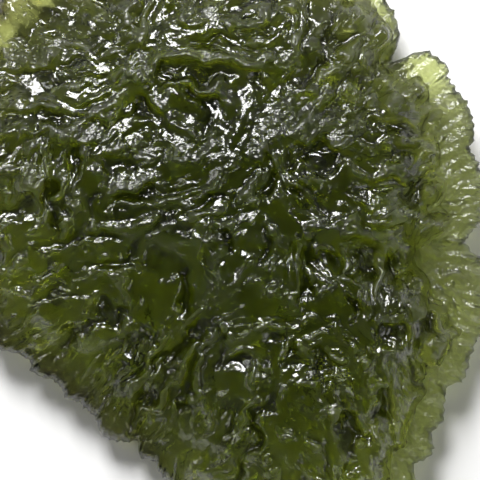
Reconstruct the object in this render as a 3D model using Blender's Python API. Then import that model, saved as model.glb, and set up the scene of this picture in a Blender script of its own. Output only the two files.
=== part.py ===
"""A moldavite: one flat, sculpted piece of natural glass, lying on its back.

Metres, +Z up. The stone lies with its flat resting spot on z = 0 and its sculpted face upward. The middle
of its bounding box is at x = 0, y = 0.
"""

import math

import bmesh
import bpy
import numpy as np

# Driving dimensions, in millimetres. A pair holds the left side's value and the right side's.
MM = 0.001
PLAN_STEP = 0.075
PLAN_MIDDLE = (205.0, 243.0)
RIM_HEIGHT = 2.6
EDGE_HALF = (1.0, 0.34)
EDGE_REACH = (0.3, 0.6)
RIM_CRINKLE = 0.4
RIM_CRINKLE_REACH = 1.6
RIM_SLOPE = (0.28, 0.06)
LEDGE_HIGH = (0.2, 1.75)
DOME_RISE = (4.0, 4.4)
DOME_REACH = (8.0, 5.2)
BELLY_POWER = 1.6
BELLY_DROP = 0.18
REST_SHARE = (0.2, 0.38)
BELLY_FOLD_HIGH = 0.3
LEAST_THICK = 1.1
FOLD_WIDE = 2.7
FOLD_LONG = 4.2
FOLD_HIGH = 0.2
PIT_SHARE = 0.7
CREST_SHARE = 0.75
CREST_LIMIT = 0.95
CREST_LEAST_WIDE = 0.75
WARP = 0.26
WARP_WIDE = 3.0
GRID_CELL = 0.15
GRID_SIDE = 380
SUBDIVISIONS = 96
TRIANGLES_KEPT = 9600

# Plan points are in steps of PLAN_STEP, x to the right and y downward.
# The rim, clockwise from the upper right.
RIM = [
    (392, 0), (400, 18), (402, 38), (396, 58), (408, 53), (425, 47), (441, 53), (452, 64), (451, 76),
    (460, 90), (472, 103), (478, 122), (478, 138), (473, 145), (480, 156), (486, 175), (489, 195), (486, 215),
    (478, 229), (469, 240), (476, 250), (486, 262), (491, 285), (490, 310), (485, 335), (477, 356), (467, 382),
    (451, 391), (449, 405), (446, 427), (437, 437), (437, 452), (430, 462), (419, 467), (418, 481), (420, 493),
    (408, 503), (407, 517), (392, 522), (383, 536), (366, 535), (350, 550), (330, 545), (310, 559), (290, 549),
    (268, 556), (250, 541), (232, 540), (222, 525), (204, 520), (193, 505), (176, 498), (168, 487), (158, 478),
    (152, 469), (138, 462), (135, 447), (120, 448), (104, 443), (89, 419), (75, 406), (64, 402), (54, 388),
    (30, 377), (26, 365), (3, 354), (-12, 346), (-20, 330), (-36, 324), (-40, 308), (-55, 298), (-58, 282),
    (-70, 270), (-68, 250), (-77, 234), (-70, 214), (-76, 196), (-73, 176), (-82, 160), (-76, 140), (-67, 128),
    (-71, 108), (-60, 94), (-60, 74), (-46, 64), (-44, 42), (-28, 34), (-24, 14), (-8, 6), (-2, -14), (16, -18),
    (26, -36), (46, -34), (58, -52), (80, -51), (94, -67), (114, -60), (136, -75), (160, -67), (182, -79),
    (206, -69), (228, -77), (250, -65), (276, -69), (292, -55), (314, -57), (330, -41), (352, -39), (362, -23),
    (384, -17),
]

# The foot of the ledge where the thin rim steps up to the body, clockwise from the upper right.
LEDGE = [
    (378, 8), (388, 35), (384, 60), (390, 78), (408, 80), (424, 84), (431, 100), (439, 126), (441, 150),
    (437, 170), (440, 192), (447, 212), (440, 228), (424, 244), (413, 262), (424, 282), (441, 303), (452, 325),
    (449, 350), (437, 368), (428, 384), (424, 402), (413, 420), (404, 440), (396, 458), (388, 478), (370, 505),
    (340, 526), (306, 536), (270, 532), (236, 516), (205, 494), (180, 474), (160, 455), (140, 436), (116, 424),
    (98, 404), (80, 388), (58, 370), (36, 352), (10, 334), (-8, 316), (-28, 290), (-46, 262), (-56, 232),
    (-56, 195), (-62, 152), (-56, 112), (-38, 72), (-18, 34), (10, 2), (48, -26), (92, -44), (142, -54),
    (200, -58), (252, -52), (300, -38), (338, -22), (362, -6),
]

# Broad swellings and sags of the face: x, y, reach, height in mm
LUMPS = [
    (250, 190, 70, 0.8), (385, 320, 60, 0.8), (20, 30, 70, -1.5), (95, 320, 60, 0.3), (300, 470, 70, 0.2),
    (330, 60, 70, -0.4), (180, 60, 50, 0.5), (30, 200, 60, 0.3),
]

# Scooped pits: x, y, half length, half width, turn in degrees, depth in mm, raised lip in mm
PITS = [
    (76, 70, 17, 13, 0, 1.1, 0.5), (35, 84, 42, 13, 2, 1.2, 0.8), (45, 119, 60, 8, 4, 0.6, 0.0),
    (202, 77, 42, 13, -4, 1.3, 0.9), (206, 112, 24, 20, -50, 1.7, 0.5), (143, 112, 13, 14, 60, 1.3, 0.5),
    (75, 168, 26, 11, 85, 1.1, 0.5), (50, 192, 18, 7, 100, 0.9, 0.3), (122, 166, 20, 11, 10, 0.8, 0.6),
    (134, 198, 30, 8, 4, 1.2, 0.8), (172, 229, 28, 11, 12, 1.2, 0.3), (165, 265, 30, 20, -10, 0.8, 0.0),
    (222, 250, 20, 13, 60, 1.1, 0.3), (316, 163, 30, 19, -12, 2.3, 0.9), (271, 190, 16, 8, 85, 1.4, 0.3),
    (268, 160, 14, 8, -60, 1.2, 0.2), (412, 195, 20, 16, 20, 1.2, 0.4), (350, 205, 40, 26, -30, 0.8, 0.2),
    (388, 142, 40, 24, 0, 0.8, 0.4), (366, 268, 28, 10, 95, 1.3, 0.4), (391, 274, 22, 10, 92, 1.0, 0.4),
    (330, 262, 15, 11, -50, 1.0, 0.4), (388, 336, 17, 15, 60, 1.2, 0.5), (351, 309, 14, 9, -55, 1.0, 0.3),
    (427, 325, 20, 15, 70, 1.2, 0.5), (381, 415, 28, 16, 95, 1.3, 0.5), (350, 442, 30, 15, 110, 1.2, 0.5),
    (294, 356, 18, 11, 85, 1.3, 0.5), (316, 364, 17, 13, 0, 0.8, 0.2), (110, 318, 28, 20, 20, 1.1, 0.6),
    (240, 362, 22, 15, 20, 0.9, 0.3), (226, 425, 32, 22, 70, 0.8, 0.1), (420, 266, 24, 14, 80, 1.1, 0.2),
    (250, 90, 24, 14, 80, 0.8, 0.2), (334, 109, 13, 9, 0, 0.8, 0.2), (60, 20, 50, 18, -10, 0.9, 0.0),
    (20, 215, 24, 18, 40, 0.8, 0.3), (60, 350, 45, 14, 40, 0.7, 0.1), (310, 290, 12, 9, 30, 0.8, 0.3),
    (180, 405, 30, 14, 65, 0.7, 0.1), (320, 60, 40, 18, 60, 0.5, 0.1), (130, 355, 40, 16, 40, 0.8, 0.1),
    (300, 500, 34, 16, 80, 0.8, 0.2), (-20, 140, 26, 15, 80, 0.9, 0.3), (-15, 260, 26, 14, 60, 0.8, 0.3),
    (120, -25, 34, 14, 80, 0.7, 0.2), (230, -15, 30, 15, 95, 0.8, 0.2), (320, -15, 26, 13, 70, 0.7, 0.2),
]

# Crest lines: half width in mm, height in mm, then the points they run through
CRESTS = [
    (0.55, 0.7, [(0, 109), (30, 107), (62, 109), (85, 113), (100, 108), (118, 100), (138, 91)]),
    (0.5, 0.7, [(0, 139), (20, 134), (40, 131), (60, 129), (80, 125), (100, 124)]),
    (0.6, 0.7, [(118, 86), (140, 74), (152, 65), (162, 59), (180, 57), (200, 58), (240, 64), (262, 72)]),
    (0.4, 0.5, [(125, 38), (140, 41), (147, 48), (165, 50), (185, 48), (205, 51), (225, 58)]),
    (0.5, 0.6, [(120, 40), (135, 31), (147, 18), (152, 0)]),
    (0.4, 0.5, [(168, 0), (180, 15), (195, 24), (205, 30), (215, 37)]),
    (0.4, 0.5, [(162, 90), (180, 85), (200, 86), (214, 90)]),
    (0.5, 0.6, [(168, 112), (183, 129), (203, 138), (226, 138)]),
    (0.5, 0.6, [(205, 198), (222, 176), (238, 152)]),
    (0.45, 0.5, [(202, 213), (222, 206), (240, 190)]),
    (0.55, 0.7, [(110, 213), (140, 210), (165, 209), (185, 208), (197, 214), (203, 226), (204, 245), (203, 266)]),
    (0.8, 0.6, [(0, 270), (30, 258), (60, 250), (90, 248), (120, 243), (140, 230), (160, 219), (180, 216)]),
    (0.5, 0.6, [(8, 338), (35, 316), (60, 297), (80, 284), (98, 276), (110, 277), (121, 285), (129, 300)]),
    (0.4, 0.4, [(38, 284), (55, 273), (70, 266), (86, 262)]),
    (0.7, 0.7, [(150, 350), (180, 324), (205, 306), (235, 278), (262, 254)]),
    (0.5, 0.5, [(198, 332), (180, 364), (160, 395), (140, 422)]),
    (0.5, 0.5, [(206, 336), (195, 370), (182, 403), (166, 436)]),
    (0.45, 0.5, [(213, 340), (209, 368), (204, 402)]),
    (0.5, 0.6, [(232, 324), (250, 330), (270, 327), (288, 324), (303, 322)]),
    (0.55, 0.6, [(268, 330), (267, 350), (260, 380), (248, 415), (236, 450)]),
    (0.5, 0.6, [(262, 138), (275, 162), (294, 184), (315, 205), (336, 222)]),
    (0.4, 0.5, [(281, 142), (290, 162), (309, 183)]),
    (0.45, 0.6, [(278, 232), (281, 260), (278, 292)]),
    (0.45, 0.6, [(298, 236), (300, 268), (291, 302)]),
    (0.4, 0.6, [(344, 240), (348, 265), (354, 285), (358, 302)]),
    (0.4, 0.6, [(378, 240), (379, 265), (376, 297)]),
    (0.45, 0.6, [(340, 302), (354, 325), (368, 347), (378, 358)]),
    (0.4, 0.5, [(372, 318), (386, 313), (402, 322), (407, 338), (398, 352), (384, 357), (378, 348)]),
    (0.4, 0.5, [(384, 357), (381, 375), (386, 392)]),
    (0.4, 0.5, [(398, 358), (409, 378), (418, 400)]),
    (0.45, 0.5, [(402, 415), (396, 430), (400, 446), (388, 456)]),
    (0.45, 0.5, [(374, 430), (364, 445), (367, 461), (374, 478)]),
    (0.45, 0.5, [(308, 424), (324, 450), (340, 480)]),
    (0.45, 0.6, [(426, 300), (440, 312), (445, 330), (440, 350)]),
    (0.5, 0.6, [(62, 240), (70, 220), (80, 198), (84, 176)]),
    (0.45, 0.5, [(86, 236), (92, 216), (104, 196)]),
    (0.4, 0.4, [(100, 150), (104, 172), (98, 195)]),
    (0.4, 0.4, [(150, 160), (158, 180), (168, 196)]),
    (0.4, 0.5, [(255, 166), (246, 180), (238, 196)]),
    (0.4, 0.4, [(330, 320), (345, 340), (355, 365)]),
]

# How the grooves run: x, y, angle in degrees
GROOVES_RUN = [
    (30, 15, -35), (90, 15, -20), (140, 12, 80), (60, 60, 10), (60, 95, 2), (110, 105, 25), (150, 70, 40),
    (200, 58, -3), (250, 68, -15), (210, 110, -55), (175, 120, -50), (190, 158, 60), (235, 165, 52),
    (240, 120, 80), (255, 40, 5), (280, 20, 80), (310, 20, 83), (335, 35, 72), (350, 30, 50), (300, 60, 65),
    (322, 74, 55), (350, 82, 60), (380, 90, 58), (300, 115, 60), (335, 135, 20), (385, 140, 8), (430, 92, 50),
    (465, 110, 25), (445, 150, 5), (450, 182, 22), (455, 212, -12), (410, 195, 70), (390, 175, 0),
    (345, 200, -40), (300, 190, -48), (275, 160, -58), (310, 215, -35), (350, 225, -10), (20, 180, 55),
    (60, 180, 80), (80, 210, 68), (100, 170, 88), (130, 200, 2), (150, 212, 5), (180, 205, 0), (205, 240, 88),
    (170, 235, 15), (120, 245, 12), (60, 252, 14), (15, 265, 25), (40, 290, 38), (80, 275, 30), (20, 330, 45),
    (60, 330, 52), (120, 290, -45), (140, 320, -75), (100, 360, 48), (40, 370, 62), (80, 400, 50),
    (120, 410, 50), (150, 400, 58), (175, 390, 66), (200, 390, 84), (165, 350, 45), (200, 312, 38),
    (235, 282, 42), (190, 280, -72), (150, 270, 60), (225, 210, 20), (280, 260, 88), (298, 270, 90),
    (350, 270, -80), (378, 270, 92), (400, 260, -85), (330, 270, -50), (355, 325, -56), (325, 340, 10),
    (270, 327, -3), (245, 330, -10), (265, 360, 95), (250, 410, 75), (225, 440, 60), (290, 350, 60),
    (300, 430, -55), (325, 455, -60), (350, 440, -70), (380, 415, 92), (405, 380, -60), (415, 440, -52),
    (400, 465, -60), (440, 325, -75), (430, 360, -60), (460, 255, 22), (472, 285, -8), (465, 315, -40),
    (455, 345, -50), (390, 330, 60), (440, 420, -30), (240, 470, 35), (190, 450, 40), (160, 460, 45),
    (140, 440, 55), (320, 500, -75), (280, 520, -90), (360, 510, -60),
]

# Where the folds are broad and round with sharp valleys between them: x, y, reach.
FURROWED = [
    (150, 395, 90), (205, 330, 60), (120, 240, 60), (60, 245, 60), (300, 270, 45), (270, 350, 40),
    (230, 430, 60), (80, 100, 45), (180, 205, 40), (300, 195, 35),
]

# Pits under the stone, around the resting spot: x, y, half length, half width, turn in degrees, depth in mm
BELLY_PITS = [
    (95, 120, 34, 20, 30, 0.8), (200, 90, 30, 22, -20, 0.9), (310, 110, 36, 20, 60, 0.8),
    (400, 170, 24, 30, 10, 0.6), (385, 290, 30, 22, -40, 0.8), (330, 390, 34, 22, -60, 0.9),
    (225, 425, 30, 24, 80, 0.9), (120, 370, 30, 22, 50, 0.8), (45, 280, 34, 20, 20, 0.7),
    (15, 190, 26, 22, -10, 0.6), (110, 30, 30, 18, -50, 0.6), (250, 10, 32, 16, 20, 0.6),
    (430, 380, 20, 16, 40, 0.4), (280, 500, 26, 18, 0, 0.6), (170, 160, 22, 14, 40, 0.6),
    (60, 230, 20, 12, 70, 0.5), (310, 210, 18, 24, 20, 0.6), (290, 320, 18, 14, 60, 0.6),
]


def plan_mm(points):
    """Turn plan points into millimetres from the stone's middle, x to the right and y upward."""
    steps = np.asarray(points, dtype=float)
    return np.column_stack([
        (steps[:, 0] - PLAN_MIDDLE[0]) * PLAN_STEP,
        (PLAN_MIDDLE[1] - steps[:, 1]) * PLAN_STEP,
    ])


def rise(low, high, value):
    """Go smoothly from 0 at low to 1 at high."""
    share = np.clip((value - low) / (high - low), 0.0, 1.0)
    return share * share * (3.0 - 2.0 * share)


def across(pair, x):
    """Go from a pair's first value at the left of the stone to its second at the right."""
    return pair[0] + (pair[1] - pair[0]) * rise(-6.0, 14.0, x)


def ring_radius(points, theta):
    """Radius in millimetres of the closed line through the plan points, at the angles theta."""
    line = plan_mm(points)
    angle = np.arctan2(line[:, 1], line[:, 0])
    radius = np.hypot(line[:, 0], line[:, 1])
    order = np.argsort(angle)
    angle = angle[order]
    radius = np.tile(radius[order], 3)
    angle = np.concatenate([angle - 2.0 * math.pi, angle, angle + 2.0 * math.pi])
    slope = np.diff(radius) / np.diff(angle)
    same = slope[1:] * slope[:-1] > 0.0
    tangent = np.zeros(len(radius))
    tangent[1:-1] = np.where(same, 2.0 * slope[1:] * slope[:-1] / (slope[1:] + slope[:-1] + 1e-12), 0.0)
    left = np.clip(np.searchsorted(angle, theta) - 1, 0, len(angle) - 2)
    width = angle[left + 1] - angle[left]
    t = (theta - angle[left]) / width
    return (
        (1.0 + 2.0 * t) * (1.0 - t) ** 2 * radius[left]
        + t * (1.0 - t) ** 2 * width * tangent[left]
        + t * t * (3.0 - 2.0 * t) * radius[left + 1]
        - t * t * (1.0 - t) * width * tangent[left + 1]
    )


def teeth(theta):
    """Small uneven serration of the rim, in millimetres outward."""
    fine = 36.0 * theta + 2.1 * np.sin(5.0 * theta) + 1.3 * np.sin(11.0 * theta + 1.0)
    broad = 13.0 * theta + 1.4 * np.sin(3.0 * theta + 0.5) + 0.8 * np.sin(7.0 * theta)
    fine_share = (fine / math.pi) % 1.0
    broad_share = (broad / math.pi) % 1.0
    strength = 0.65 + 0.35 * np.sin(17.0 * theta + 2.0)
    return 0.16 * strength * (1.0 - fine_share) ** 0.8 + 0.2 * (1.0 - np.abs(2.0 * broad_share - 1.0)) - 0.18


def curve_through(points):
    """Points along a smooth curve through the plan points, in millimetres."""
    line = plan_mm(points)
    line = np.vstack([2.0 * line[0] - line[1], line, 2.0 * line[-1] - line[-2]])
    found = []
    for i in range(1, len(line) - 2):
        a, b, c, d = line[i - 1], line[i], line[i + 1], line[i + 2]
        for t in (0.0, 0.25, 0.5, 0.75):
            found.append(0.5 * (2.0 * b + (c - a) * t + (2.0 * a - 5.0 * b + 4.0 * c - d) * t ** 2
                                + (3.0 * b - a - 3.0 * c + d) * t ** 3))
    found.append(line[-2])
    return np.array(found)


def pit_relief(x, y, pit, lip=0.0):
    """Height of one scooped pit, steep on its upper side, with a raised lip there."""
    px, py, half_long, half_wide, turn, depth = pit
    (mx, my), = plan_mm([(px, py)])
    along = np.array([math.cos(math.radians(turn)), math.sin(math.radians(turn))])
    dx, dy = x - mx, y - my
    u = (dx * along[0] + dy * along[1]) / (half_long * PLAN_STEP)
    v = (dy * along[0] - dx * along[1]) / (half_wide * PLAN_STEP)
    reach = np.hypot(u, v)
    tilt = 1.0 + 0.35 * np.clip(dy / (half_wide * PLAN_STEP), -1.0, 1.0)
    height = -depth * tilt * np.clip(1.0 - reach ** 2, 0.0, 1.0) ** 0.7
    if lip:
        upward = rise(-0.1, 0.7, dy / (np.hypot(dx, dy) + 1e-6))
        fall = np.exp(-np.clip(reach - 1.0, 0.0, None) * min(half_long, half_wide) * PLAN_STEP / 0.8)
        height = height + lip * fall * upward * rise(0.75, 1.02, reach)
    return height


def crest_relief(x, y, half_wide, high, points):
    """Height of one crest line, tapering at its ends."""
    line = curve_through(points)
    wide = max(half_wide, CREST_LEAST_WIDE)
    nearest = np.full(x.shape, 1e9)
    share = np.zeros(x.shape)
    count = len(line) - 1
    for i in range(count):
        start = line[i]
        step = line[i + 1] - start
        t = np.clip(((x - start[0]) * step[0] + (y - start[1]) * step[1]) / (step @ step), 0.0, 1.0)
        distance = np.hypot(x - start[0] - t * step[0], y - start[1] - t * step[1])
        closer = distance < nearest
        nearest = np.where(closer, distance, nearest)
        share = np.where(closer, (i + t) / count, share)
    taper = 0.35 + 0.65 * rise(0.0, 0.12, share) * rise(0.0, 0.12, 1.0 - share)
    return high * taper * np.exp(-(nearest / wide) ** 1.6)


def blurred(field, reach):
    """Soften a square field by reach, in millimetres."""
    wave = np.fft.fftfreq(GRID_SIDE, GRID_CELL)
    keep = np.exp(-2.0 * (math.pi * reach * wave) ** 2)
    return np.real(np.fft.ifft2(np.fft.fft2(field) * keep[:, None] * keep[None, :]))


def grid_axes():
    """The plan grid's x and y, in millimetres."""
    axis = (np.arange(GRID_SIDE) + 0.5) * GRID_CELL - 0.5 * GRID_SIDE * GRID_CELL
    return np.meshgrid(axis, axis)


def groove_directions():
    """Unit vectors along the grooves, on the plan grid."""
    grid_x, grid_y = grid_axes()
    radial = 2.0 * np.arctan2(grid_y, grid_x)
    along_x = 3e-4 * np.cos(radial)
    along_y = 3e-4 * np.sin(radial)
    places = plan_mm([(row[0], row[1]) for row in GROOVES_RUN])
    for (mx, my), (_, _, degrees) in zip(places, GROOVES_RUN):
        weight = np.exp(-((grid_x - mx) ** 2 + (grid_y - my) ** 2) / 4.5)
        along_x = along_x + weight * math.cos(2.0 * math.radians(degrees))
        along_y = along_y + weight * math.sin(2.0 * math.radians(degrees))
    turn = 0.5 * np.arctan2(along_y, along_x)
    return np.cos(turn), np.sin(turn)


def cell_of(position):
    """Index of the grid cell that holds a position."""
    return np.clip((position / GRID_CELL + 0.5 * GRID_SIDE).astype(int), 0, GRID_SIDE - 1)


def folds(seed, wide, long):
    """Long soft folds that follow the grooves' run, as a field on the plan grid with a spread of 1."""
    grid_x, grid_y = grid_axes()
    flow_x, flow_y = groove_directions()
    rough = np.random.default_rng(seed).standard_normal((GRID_SIDE, GRID_SIDE))
    band = blurred(rough, 0.16 * wide) - blurred(rough, 0.42 * wide)
    total = band.copy()
    steps = int(long / GRID_CELL)
    for sign in (1.0, -1.0):
        x, y = grid_x.copy(), grid_y.copy()
        go_x, go_y = sign * flow_x, sign * flow_y
        for k in range(steps):
            x += go_x * GRID_CELL
            y += go_y * GRID_CELL
            column, row = cell_of(x), cell_of(y)
            next_x, next_y = flow_x[row, column], flow_y[row, column]
            turned = np.where(next_x * go_x + next_y * go_y < 0.0, -1.0, 1.0)
            go_x, go_y = next_x * turned, next_y * turned
            total += band[row, column] * 0.5 * (1.0 + math.cos(math.pi * (k + 1) / (steps + 1)))
    return total / total.std()


def read_grid(field, x, y):
    """Value of a grid field at the positions x, y."""
    u = np.clip(x / GRID_CELL + 0.5 * GRID_SIDE - 0.5, 0.0, GRID_SIDE - 1.001)
    v = np.clip(y / GRID_CELL + 0.5 * GRID_SIDE - 0.5, 0.0, GRID_SIDE - 1.001)
    column, row = u.astype(int), v.astype(int)
    du, dv = u - column, v - row
    return (
        field[row, column] * (1.0 - du) * (1.0 - dv) + field[row, column + 1] * du * (1.0 - dv)
        + field[row + 1, column] * (1.0 - du) * dv + field[row + 1, column + 1] * du * dv
    )


def fold_sign(x, y):
    """1 where the folds have sharp crests, and -1 where they are round with sharp valleys."""
    valleys = np.zeros(x.shape)
    for px, py, reach in FURROWED:
        (mx, my), = plan_mm([(px, py)])
        away = ((x - mx) ** 2 + (y - my) ** 2) / (reach * PLAN_STEP) ** 2
        valleys = np.maximum(valleys, np.exp(-away ** 2))
    return 1.0 - 2.0 * valleys


def rim_height(theta):
    """Height of the wavy rim above the ground."""
    return (
        RIM_HEIGHT + 0.4 * np.sin(theta + 0.6) + 0.3 * np.sin(2.0 * theta + 1.9)
        + 0.18 * np.sin(5.0 * theta + 0.4) + 0.1 * np.sin(11.0 * theta)
    )


def shape_stone(octahedron):
    """Move the points of a unit octahedron, finely divided, onto the stone's surface, in millimetres."""
    flat_x, flat_y, flat_z = octahedron.T
    share = np.abs(flat_x) + np.abs(flat_y)
    quarter = np.abs(flat_y) / np.maximum(share, 1e-9) * 0.5 * math.pi
    quarter = np.where(flat_x < 0.0, math.pi - quarter, quarter)
    theta = np.where(flat_y < 0.0, -quarter, quarter)
    rim = ring_radius(RIM, theta)
    face_folds = folds(1, FOLD_WIDE, FOLD_LONG)
    crinkle = 0.8 - np.abs(read_grid(face_folds, rim * np.cos(theta), rim * np.sin(theta)))
    radius = share * rim + share ** 8 * teeth(theta)
    rim = rim + teeth(theta)
    x, y = radius * np.cos(theta), radius * np.sin(theta)
    inward = rim - radius
    past_ledge = ring_radius(LEDGE, theta) - radius
    edge = across(EDGE_HALF, x) * (1.0 - np.exp(-inward / across(EDGE_REACH, x)))
    level = rim_height(theta)
    level = level + RIM_CRINKLE * np.clip(crinkle, -1.0, 1.0) * np.exp(-inward / RIM_CRINKLE_REACH)

    belly = (share ** BELLY_POWER) * (level - edge) - BELLY_DROP * (1.0 - share ** BELLY_POWER)
    around_rest = rise(*REST_SHARE, share)
    for pit in BELLY_PITS:
        belly = belly - pit_relief(x, y, pit) * around_rest * rise(0.0, 2.5, inward)
    under_folds = read_grid(folds(7, FOLD_WIDE, FOLD_LONG), x, y)
    belly = belly + BELLY_FOLD_HIGH * (0.8 - np.abs(under_folds)) * around_rest * rise(0.2, 2.5, inward)

    face = level + edge + across(RIM_SLOPE, x) * np.minimum(inward, 5.0)
    face = face + across(LEDGE_HIGH, x) * rise(-0.5, 0.9, past_ledge)
    face = face + across(DOME_RISE, x) * (1.0 - np.exp(-np.maximum(past_ledge, 0.0) / across(DOME_REACH, x)))
    for lump in LUMPS:
        (mx, my), = plan_mm([lump[:2]])
        away = ((x - mx) ** 2 + (y - my) ** 2) / (lump[2] * PLAN_STEP) ** 2
        face = face + lump[3] * np.exp(-away) * rise(0.0, 3.0, past_ledge)
    warped_x = x + WARP * read_grid(folds(21, WARP_WIDE, 0.0), x, y)
    warped_y = y + WARP * read_grid(folds(22, WARP_WIDE, 0.0), x, y)
    relief = np.zeros(len(x))
    for pit in PITS:
        relief = relief + PIT_SHARE * pit_relief(warped_x, warped_y, pit[:6], pit[6])
    for half_wide, high, points in CRESTS:
        relief = relief + CREST_SHARE * crest_relief(warped_x, warped_y, half_wide, high, points)
    crinkles = 0.8 - np.abs(read_grid(face_folds, warped_x, warped_y))
    relief = relief + FOLD_HIGH * crinkles * fold_sign(x, y)
    relief = np.where(relief > 0.0, CREST_LIMIT * np.tanh(relief / CREST_LIMIT), relief)
    face = face + relief * rise(0.1, 2.2, inward)
    face = np.maximum(face, belly + LEAST_THICK * (1.0 - np.exp(-inward / 0.5)))

    z = np.where(flat_z > 1e-6, face, np.where(flat_z < -1e-6, belly, level))
    return np.column_stack([x, y, z])


def divided_octahedron(name):
    """An octahedron of radius 1 whose faces are divided into small triangles."""
    cage = bmesh.new()
    bmesh.ops.create_uvsphere(cage, u_segments=4, v_segments=2, radius=1.0)
    bmesh.ops.subdivide_edges(cage, edges=cage.edges[:], cuts=SUBDIVISIONS - 1, use_grid_fill=True)
    mesh = bpy.data.meshes.new(name)
    cage.to_mesh(mesh)
    cage.free()
    return bpy.data.objects.new(name, mesh)


def cut_resting_spot(mesh):
    """Cut the belly flat at z = 0, so that the stone has a small level spot to lie on."""
    body = bmesh.new()
    body.from_mesh(mesh)
    cut = bmesh.ops.bisect_plane(
        body,
        geom=body.verts[:] + body.edges[:] + body.faces[:],
        plane_co=(0.0, 0.0, 0.0),
        plane_no=(0.0, 0.0, 1.0),
        clear_inner=True,
    )
    rim_edges = [piece for piece in cut["geom_cut"] if isinstance(piece, bmesh.types.BMEdge)]
    bmesh.ops.edgeloop_fill(body, edges=rim_edges)
    bmesh.ops.recalc_face_normals(body, faces=body.faces[:])
    bmesh.ops.triangulate(body, faces=body.faces[:])
    body.to_mesh(mesh)
    body.free()


def glass(name):
    """Olive green natural glass."""
    material = bpy.data.materials.new(name)
    material.use_nodes = True
    shader = material.node_tree.nodes["Principled BSDF"]
    shader.inputs["Base Color"].default_value = (0.075, 0.115, 0.018, 1.0)
    shader.inputs["Roughness"].default_value = 0.12
    shader.inputs["Metallic"].default_value = 0.0
    shader.inputs["IOR"].default_value = 1.49
    return material


def main():
    for old in list(bpy.data.objects):
        bpy.data.objects.remove(old, do_unlink=True)
    collection = bpy.data.collections.new("moldavite")
    bpy.context.scene.collection.children.link(collection)

    stone = divided_octahedron("moldavite")
    collection.objects.link(stone)

    points = np.empty(len(stone.data.vertices) * 3)
    stone.data.vertices.foreach_get("co", points)
    shaped = shape_stone(points.reshape(-1, 3)) * MM
    stone.data.vertices.foreach_set("co", shaped.ravel())
    stone.data.update()

    thinning = stone.modifiers.new("Fewer faces", "DECIMATE")
    thinning.ratio = TRIANGLES_KEPT / len(stone.data.polygons)
    thinning.use_collapse_triangulate = True
    bpy.context.view_layer.objects.active = stone
    bpy.ops.object.modifier_apply(modifier=thinning.name)
    cut_resting_spot(stone.data)

    points = np.empty(len(stone.data.vertices) * 3)
    stone.data.vertices.foreach_get("co", points)
    points = points.reshape(-1, 3)
    middle = 0.5 * (points.min(axis=0) + points.max(axis=0))
    points -= (middle[0], middle[1], 0.0)
    stone.data.vertices.foreach_set("co", points.ravel())
    stone.data.update()
    stone.data.shade_smooth()
    stone.data.materials.append(glass("moldavite glass"))


main()
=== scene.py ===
"""A moldavite close up: one flat sculpted stone of see-through green natural glass, lying on its back."""

import logging
import math
from dataclasses import dataclass, field

import bpy
import numpy as np
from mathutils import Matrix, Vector


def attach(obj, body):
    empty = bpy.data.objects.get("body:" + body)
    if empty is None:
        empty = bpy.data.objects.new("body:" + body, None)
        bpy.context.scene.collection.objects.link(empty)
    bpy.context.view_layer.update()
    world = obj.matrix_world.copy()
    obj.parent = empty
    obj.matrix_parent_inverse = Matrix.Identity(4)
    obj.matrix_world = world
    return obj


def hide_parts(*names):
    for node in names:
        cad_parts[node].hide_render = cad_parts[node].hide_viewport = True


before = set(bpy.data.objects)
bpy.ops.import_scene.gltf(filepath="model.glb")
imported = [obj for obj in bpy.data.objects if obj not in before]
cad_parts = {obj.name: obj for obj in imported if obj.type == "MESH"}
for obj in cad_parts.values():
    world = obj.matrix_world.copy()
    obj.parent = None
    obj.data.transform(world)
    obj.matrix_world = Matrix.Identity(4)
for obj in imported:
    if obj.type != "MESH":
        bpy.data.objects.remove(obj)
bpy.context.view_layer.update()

LOG = logging.getLogger("moldavite")
MM = 0.001
PLAN_STEP = 0.075
PLAN_MIDDLE = (205.0, 243.0)
VIEW_MIDDLE = (240.0, 240.0)
VIEW_STEPS = 480.0
PIT_DEEPER_ABOVE = 0.6
PIT_BLUNT = 0.95
PIT_STEEPER_ABOVE = 0.35
LIP_UPWARD = (-0.1, 0.7)
LIP_START = (0.75, 1.02)
LIP_FADE = 0.8

Line = tuple[tuple[float, float], ...]
Waves = tuple[tuple[float, float, float], ...]


@dataclass(frozen=True)
class Pit:
    """A scooped pit: place and half sizes in plan steps, turn in degrees, depth and raised lip in mm."""

    x: float
    y: float
    half_long: float
    half_wide: float
    turn: float
    depth: float
    lip: float = 0.0


@dataclass(frozen=True)
class Crest:
    """A sharp crest line: half width and height in mm, and the plan points it runs through."""

    half_wide: float
    high: float
    points: Line


@dataclass(frozen=True)
class Lump:
    """A broad swelling or sag: place and reach in plan steps, height in mm."""

    x: float
    y: float
    reach: float
    high: float


@dataclass(frozen=True)
class Patch:
    """An oval patch of the face: place and half sizes in plan steps, turn in degrees, strength."""

    x: float
    y: float
    half_x: float
    half_y: float
    turn: float
    strength: float


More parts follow.
